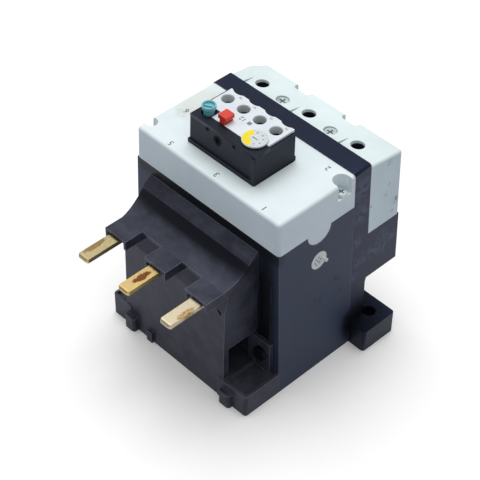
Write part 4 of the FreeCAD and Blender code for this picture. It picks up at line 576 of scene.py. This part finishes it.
def makeDialSector(marks):
    shape = bmesh.new()
    start = math.radians(marks["from"])
    centre = Vector((*marks["centre"], dialTop)) * mm
    heading = Vector((math.cos(start), math.sin(start), 0))
    ends = [shape.verts.new(centre + heading * marks[key] * mm) for key in ("inner", "outer")]
    line = shape.edges.new(ends)
    bmesh.ops.spin(shape, geom=ends + [line], cent=centre, axis=(0, 0, 1),
                   angle=math.radians(marks["to"] - marks["from"]), steps=marks["steps"])
    bmesh.ops.recalc_face_normals(shape, faces=shape.faces)
    lifted = bmesh.ops.extrude_face_region(shape, geom=shape.faces[:])["geom"]
    corners = [item for item in lifted if isinstance(item, bmesh.types.BMVert)]
    bmesh.ops.translate(shape, verts=corners, vec=(0, 0, marks["rise"] * mm))
    bmesh.ops.recalc_face_normals(shape, faces=shape.faces)
    return newPiece("dialSector", shape, yellowInk, "dial_body")


def makeDialTicks(marks):
    shape = bmesh.new()
    sweep = 360.0 - (marks["to"] - marks["from"])
    length = marks["tickOuter"] - marks["tickInner"]
    middle = (marks["tickOuter"] + marks["tickInner"]) / 2
    for index in range(marks["ticks"]):
        angle = math.radians(marks["to"] + sweep * (index + 0.5) / marks["ticks"])
        place = (Matrix.Translation(Vector((*marks["centre"], dialTop)) * mm) @ Matrix.Rotation(angle, 4, "Z")
                 @ Matrix.Translation((middle * mm, 0, 0))
                 @ Matrix.Diagonal((length, marks["tickWidth"], 1, 1)))
        bmesh.ops.create_grid(shape, x_segments=1, y_segments=1, size=0.5 * mm, matrix=place)
    bmesh.ops.solidify(shape, geom=shape.faces[:], thickness=-marks["rise"] * mm)
    bmesh.ops.recalc_face_normals(shape, faces=shape.faces)
    newPiece("dialTicks", shape, greyInk, "dial_body")
    numbers = []
    for index, words in enumerate(marks["numbers"]):
        turn = marks["to"] + sweep * (index + 0.5) / len(marks["numbers"])
        angle = math.radians(turn)
        numbers.append((words, marks["numberHeight"],
                        marks["centre"][0] + marks["numberRadius"] * math.cos(angle),
                        marks["centre"][1] + marks["numberRadius"] * math.sin(angle),
                        dialTop + marks["numberLift"], turn - 90))
    return printedWords("dialNumbers", numbers, darkInkAndPitShade, "dial_body")


makeDialSector(dialMarks)
makeDialTicks(dialMarks)

# Reset knob: turned with a sunk face, with a bar across the recess for the finger or a driver.
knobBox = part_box("reset_knob")
knobSizes = {"axis": resetAxis, "foot": knobBox[0][2] / mm, "top": knobBox[1][2] / mm, "footRadius": 2.55,
             "neckTop": 2.9, "flareTop": 1.7, "rimRadius": 3.3, "rimWidth": 0.8, "rimRound": 0.35,
             "recess": 1.1, "recessDraft": 0.1, "barLength": 4.4, "barWidth": 1.1, "barHeight": 0.7,
             "barTurn": 28.0, "barRound": 0.18, "steps": 64}


def makeKnob(sizes):
    top, foot = sizes["top"], sizes["foot"]
    rim, turn = sizes["rimRadius"], sizes["rimRound"]
    inside = rim - sizes["rimWidth"]
    profile = [(0, foot), (sizes["footRadius"], foot), (sizes["footRadius"], top - sizes["neckTop"]),
               (rim, top - sizes["flareTop"]), (rim, top - turn),
               (rim - turn * 0.3, top - turn * 0.3), (rim - turn, top), (inside + turn * 0.5, top),
               (inside, top - turn), (inside - sizes["recessDraft"], top - sizes["recess"]),
               (0, top - sizes["recess"])]
    shape = spunShape(profile, sizes["axis"], sizes["steps"])
    bar = (Matrix.Translation(Vector((*sizes["axis"], top - sizes["recess"] + sizes["barHeight"] / 2)) * mm)
           @ Matrix.Rotation(math.radians(sizes["barTurn"]), 4, "Z")
           @ Matrix.Diagonal((sizes["barLength"], sizes["barWidth"], sizes["barHeight"], 1)))
    made = bmesh.ops.create_cube(shape, size=1 * mm, matrix=bar)
    edges = list({edge for vert in made["verts"] for edge in vert.link_edges})
    bmesh.ops.bevel(shape, geom=edges, offset=sizes["barRound"] * mm, affect="EDGES", segments=2,
                    profile=0.5, material=-1)
    knob = newPiece("resetKnob", shape, blueAcetal, "reset_knob_body")
    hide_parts("reset_knob")
    return knob


makeKnob(knobSizes)

# Pale sleeves line the four bores over the control terminals, black wells lead down to the load screws.
sleeveSizes = {"places": [-17.01, -6.95, 3.11, 13.17], "reach": 7.25, "outer": 3.1, "inner": 2.97,
               "foot": 114.4, "top": plateTop - 0.25, "steps": 40}
wellSizes = {"places": [-30.2, 0.0, 30.2], "reach": 41.9, "outer": 3.38, "inner": 3.26, "foot": 74.0,
             "top": 99.1, "steps": 40}


def makeSleeves(name, sizes, material):
    joined = bmesh.new()
    for x in sizes["places"]:
        outer, inner, foot, top = sizes["outer"], sizes["inner"], sizes["foot"], sizes["top"]
        shape = spunShape([(inner, foot), (outer, foot), (outer, top), (inner, top), (inner, foot)],
                          (x, sizes["reach"]), sizes["steps"])
        joinShape(joined, shape)
    return newPiece(name, joined, material, "relay")


makeSleeves("terminalSleeves", sleeveSizes, greyAcetal)
makeSleeves("driverWells", wellSizes, blackPolyamide)

# Black discs: painted shade of the sunk rings round the keyhole and the two small holes of the module's front
# wall.
# Each hole is x, height, inner and outer radius.
shadeRingSizes = {"reach": -11.93, "thick": 0.05, "steps": 32, "wallFoot": 104.6, "wallRise": 12.3,
             "wallLean": 0.4,
             "tilt": 88.1,
             "holes": [(-3.7, 113.3, 1.32, 2.5), (-10.0, 116.0, 0.56, 1.0), (6.5, 116.0, 0.56, 1.0)]}


def makeShadeRings(sizes):
    joined = bmesh.new()
    for x, height, inner, outer in sizes["holes"]:
        reach = sizes["reach"] + sizes["wallLean"] * (height - sizes["wallFoot"]) / sizes["wallRise"]
        thick = sizes["thick"]
        shape = spunShape([(inner, 0), (outer, 0), (outer, thick), (inner, thick), (inner, 0)],
                          (0, 0), sizes["steps"])
        bmesh.ops.transform(shape, verts=shape.verts,
                            matrix=Matrix.Translation(Vector((x, reach, height)) * mm)
                            @ Matrix.Rotation(math.radians(sizes["tilt"]), 4, "X"))
        joinShape(joined, shape)
    return newPiece("wallShadeRings", joined, paintedShadeBlack, "relay")


makeShadeRings(shadeRingSizes)

# Perforations in the round plug of the side wall: dark discs standing on its face, painted shade for the
# pits.
plugSizes = {"height": 67.0, "reach": 2.9, "faceAt": 46.30, "pitRadius": 0.42, "pitRise": 0.03,
             "pits": [(-1.9, 1.5), (-0.3, 1.9), (-2.5, -0.4), (-0.9, 0.1), (0.8, 0.5), (-1.6, -2.0),
                      (0.2, -1.4)]}


def makePitShades(sizes):
    shape = bmesh.new()
    for reach, rise in sizes["pits"]:
        centre = (sizes["faceAt"], sizes["reach"] + reach, sizes["height"] + rise)
        addDisc(shape, centre, (1, 0, 0), sizes["pitRadius"], sizes["pitRise"])
    return newPiece("plugPitShades", shape, darkInkAndPitShade, "relay")


makePitShades(plugSizes)
print("new pieces: rims, ridge, numbers, dial marks, knob, sleeves, wells, rings, plug perforations")


# floor, light and camera

stageSizes = {"floorHalf": 4000.0, "lampPlace": (-285.0, 255.0, 1320.0), "lampSize": 900.0, "lampPower": 10.3,
              "floorDrop": 0.05, "floorWhite": 0.98, "floorRoughness": 0.9, "floorGlow": 0.1,
              "bounceColour": "#8891A8", "skyStrength": 0.58}


def makeStage(sizes):
    material, tree, shader, place = newMaterial("paleFloor", {
        "Roughness": sizes["floorRoughness"], "Base Color": [sizes["floorWhite"]] * 3 + [1.0],
        "Emission Color": (1, 1, 1, 1), "Emission Strength": sizes["floorGlow"]})
    output = tree.nodes["Material Output"]
    bounce = addNode(tree, "ShaderNodeBsdfDiffuse", {"Color": linearColour(sizes["bounceColour"])})
    path = addNode(tree, "ShaderNodeLightPath", {})
    seen = addNode(tree, "ShaderNodeMath", {"operation": "MAXIMUM"}, {
        0: path.outputs["Is Camera Ray"], 1: path.outputs["Is Glossy Ray"]})
    seen = addNode(tree, "ShaderNodeMath", {"operation": "MAXIMUM"}, {
        0: seen.outputs[0], 1: path.outputs["Is Transmission Ray"]})
    mixed = addNode(tree, "ShaderNodeMixShader", {}, {
        0: seen.outputs[0], 1: bounce.outputs[0], 2: shader.outputs[0]})
    tree.links.new(mixed.outputs[0], output.inputs["Surface"])
    shape = bmesh.new()
    bmesh.ops.create_grid(shape, x_segments=1, y_segments=1, size=sizes["floorHalf"] * mm)
    bmesh.ops.translate(shape, verts=shape.verts, vec=(0, 0, -sizes["floorDrop"] * mm))
    mesh = bpy.data.meshes.new("floor")
    shape.to_mesh(mesh)
    shape.free()
    mesh.materials.append(material)
    floor = bpy.data.objects.new("floor", mesh)
    bpy.context.scene.collection.objects.link(floor)

    world = bpy.data.worlds.new("studio")
    bpy.context.scene.world = world
    world.use_nodes = True
    tree = world.node_tree
    tree.nodes.clear()
    path = addNode(tree, "ShaderNodeLightPath", {})
    seen = addNode(tree, "ShaderNodeMath", {"operation": "MAXIMUM"}, {
        0: path.outputs["Is Camera Ray"], 1: path.outputs["Is Transmission Ray"]})
    strength = addNode(tree, "ShaderNodeMapRange", {"To Min": sizes["skyStrength"], "To Max": 1.0},
                       {"Value": seen.outputs[0]})
    sky = addNode(tree, "ShaderNodeBackground", {"Color": (1, 1, 1, 1)},
                  {"Strength": strength.outputs["Result"]})
    addNode(tree, "ShaderNodeOutputWorld", {}, {"Surface": sky.outputs[0]})

    lamp = bpy.data.lights.new("softbox", "AREA")
    lamp.shape = "SQUARE"
    lamp.size = sizes["lampSize"] * mm
    lamp.energy = sizes["lampPower"]
    lampObject = bpy.data.objects.new("softbox", lamp)
    lampObject.location = Vector(sizes["lampPlace"]) * mm
    lampObject.rotation_euler = lampObject.location.to_track_quat("Z", "Y").to_euler()
    bpy.context.scene.collection.objects.link(lampObject)


cameraPlace = {"azimuth": 45.685, "elevation": 43.795, "roll": 0.77, "lens": 114.48,
               "distance": 740.79, "rise": 35.329, "across": -0.049, "sensor": 36.0, "near": 0.01,
               "far": 20.0}


def makeCamera(place):
    azimuth, elevation, roll = [math.radians(place[k]) for k in ("azimuth", "elevation", "roll")]
    back = Vector((math.sin(azimuth) * math.cos(elevation),
                   -math.cos(azimuth) * math.cos(elevation), math.sin(elevation)))
    level = Vector((0, 0, 1)).cross(back).normalized()
    upright = back.cross(level)
    right = level * math.cos(roll) + upright * math.sin(roll)
    up = upright * math.cos(roll) - level * math.sin(roll)
    data = bpy.data.cameras.new("photoView")
    data.lens = place["lens"]
    data.sensor_width = place["sensor"]
    data.clip_start = place["near"]
    data.clip_end = place["far"]
    camera = bpy.data.objects.new("photoView", data)
    turn = Matrix((right, up, back)).transposed().to_4x4()
    spot = (right * place["across"] + up * place["rise"] + back * place["distance"]) * mm
    camera.matrix_world = Matrix.Translation(spot) @ turn
    bpy.context.scene.collection.objects.link(camera)
    bpy.context.scene.camera = camera


makeStage(stageSizes)
makeCamera(cameraPlace)
bpy.context.scene.view_settings.view_transform = "Standard"
print("stage: floor, softbox and camera")
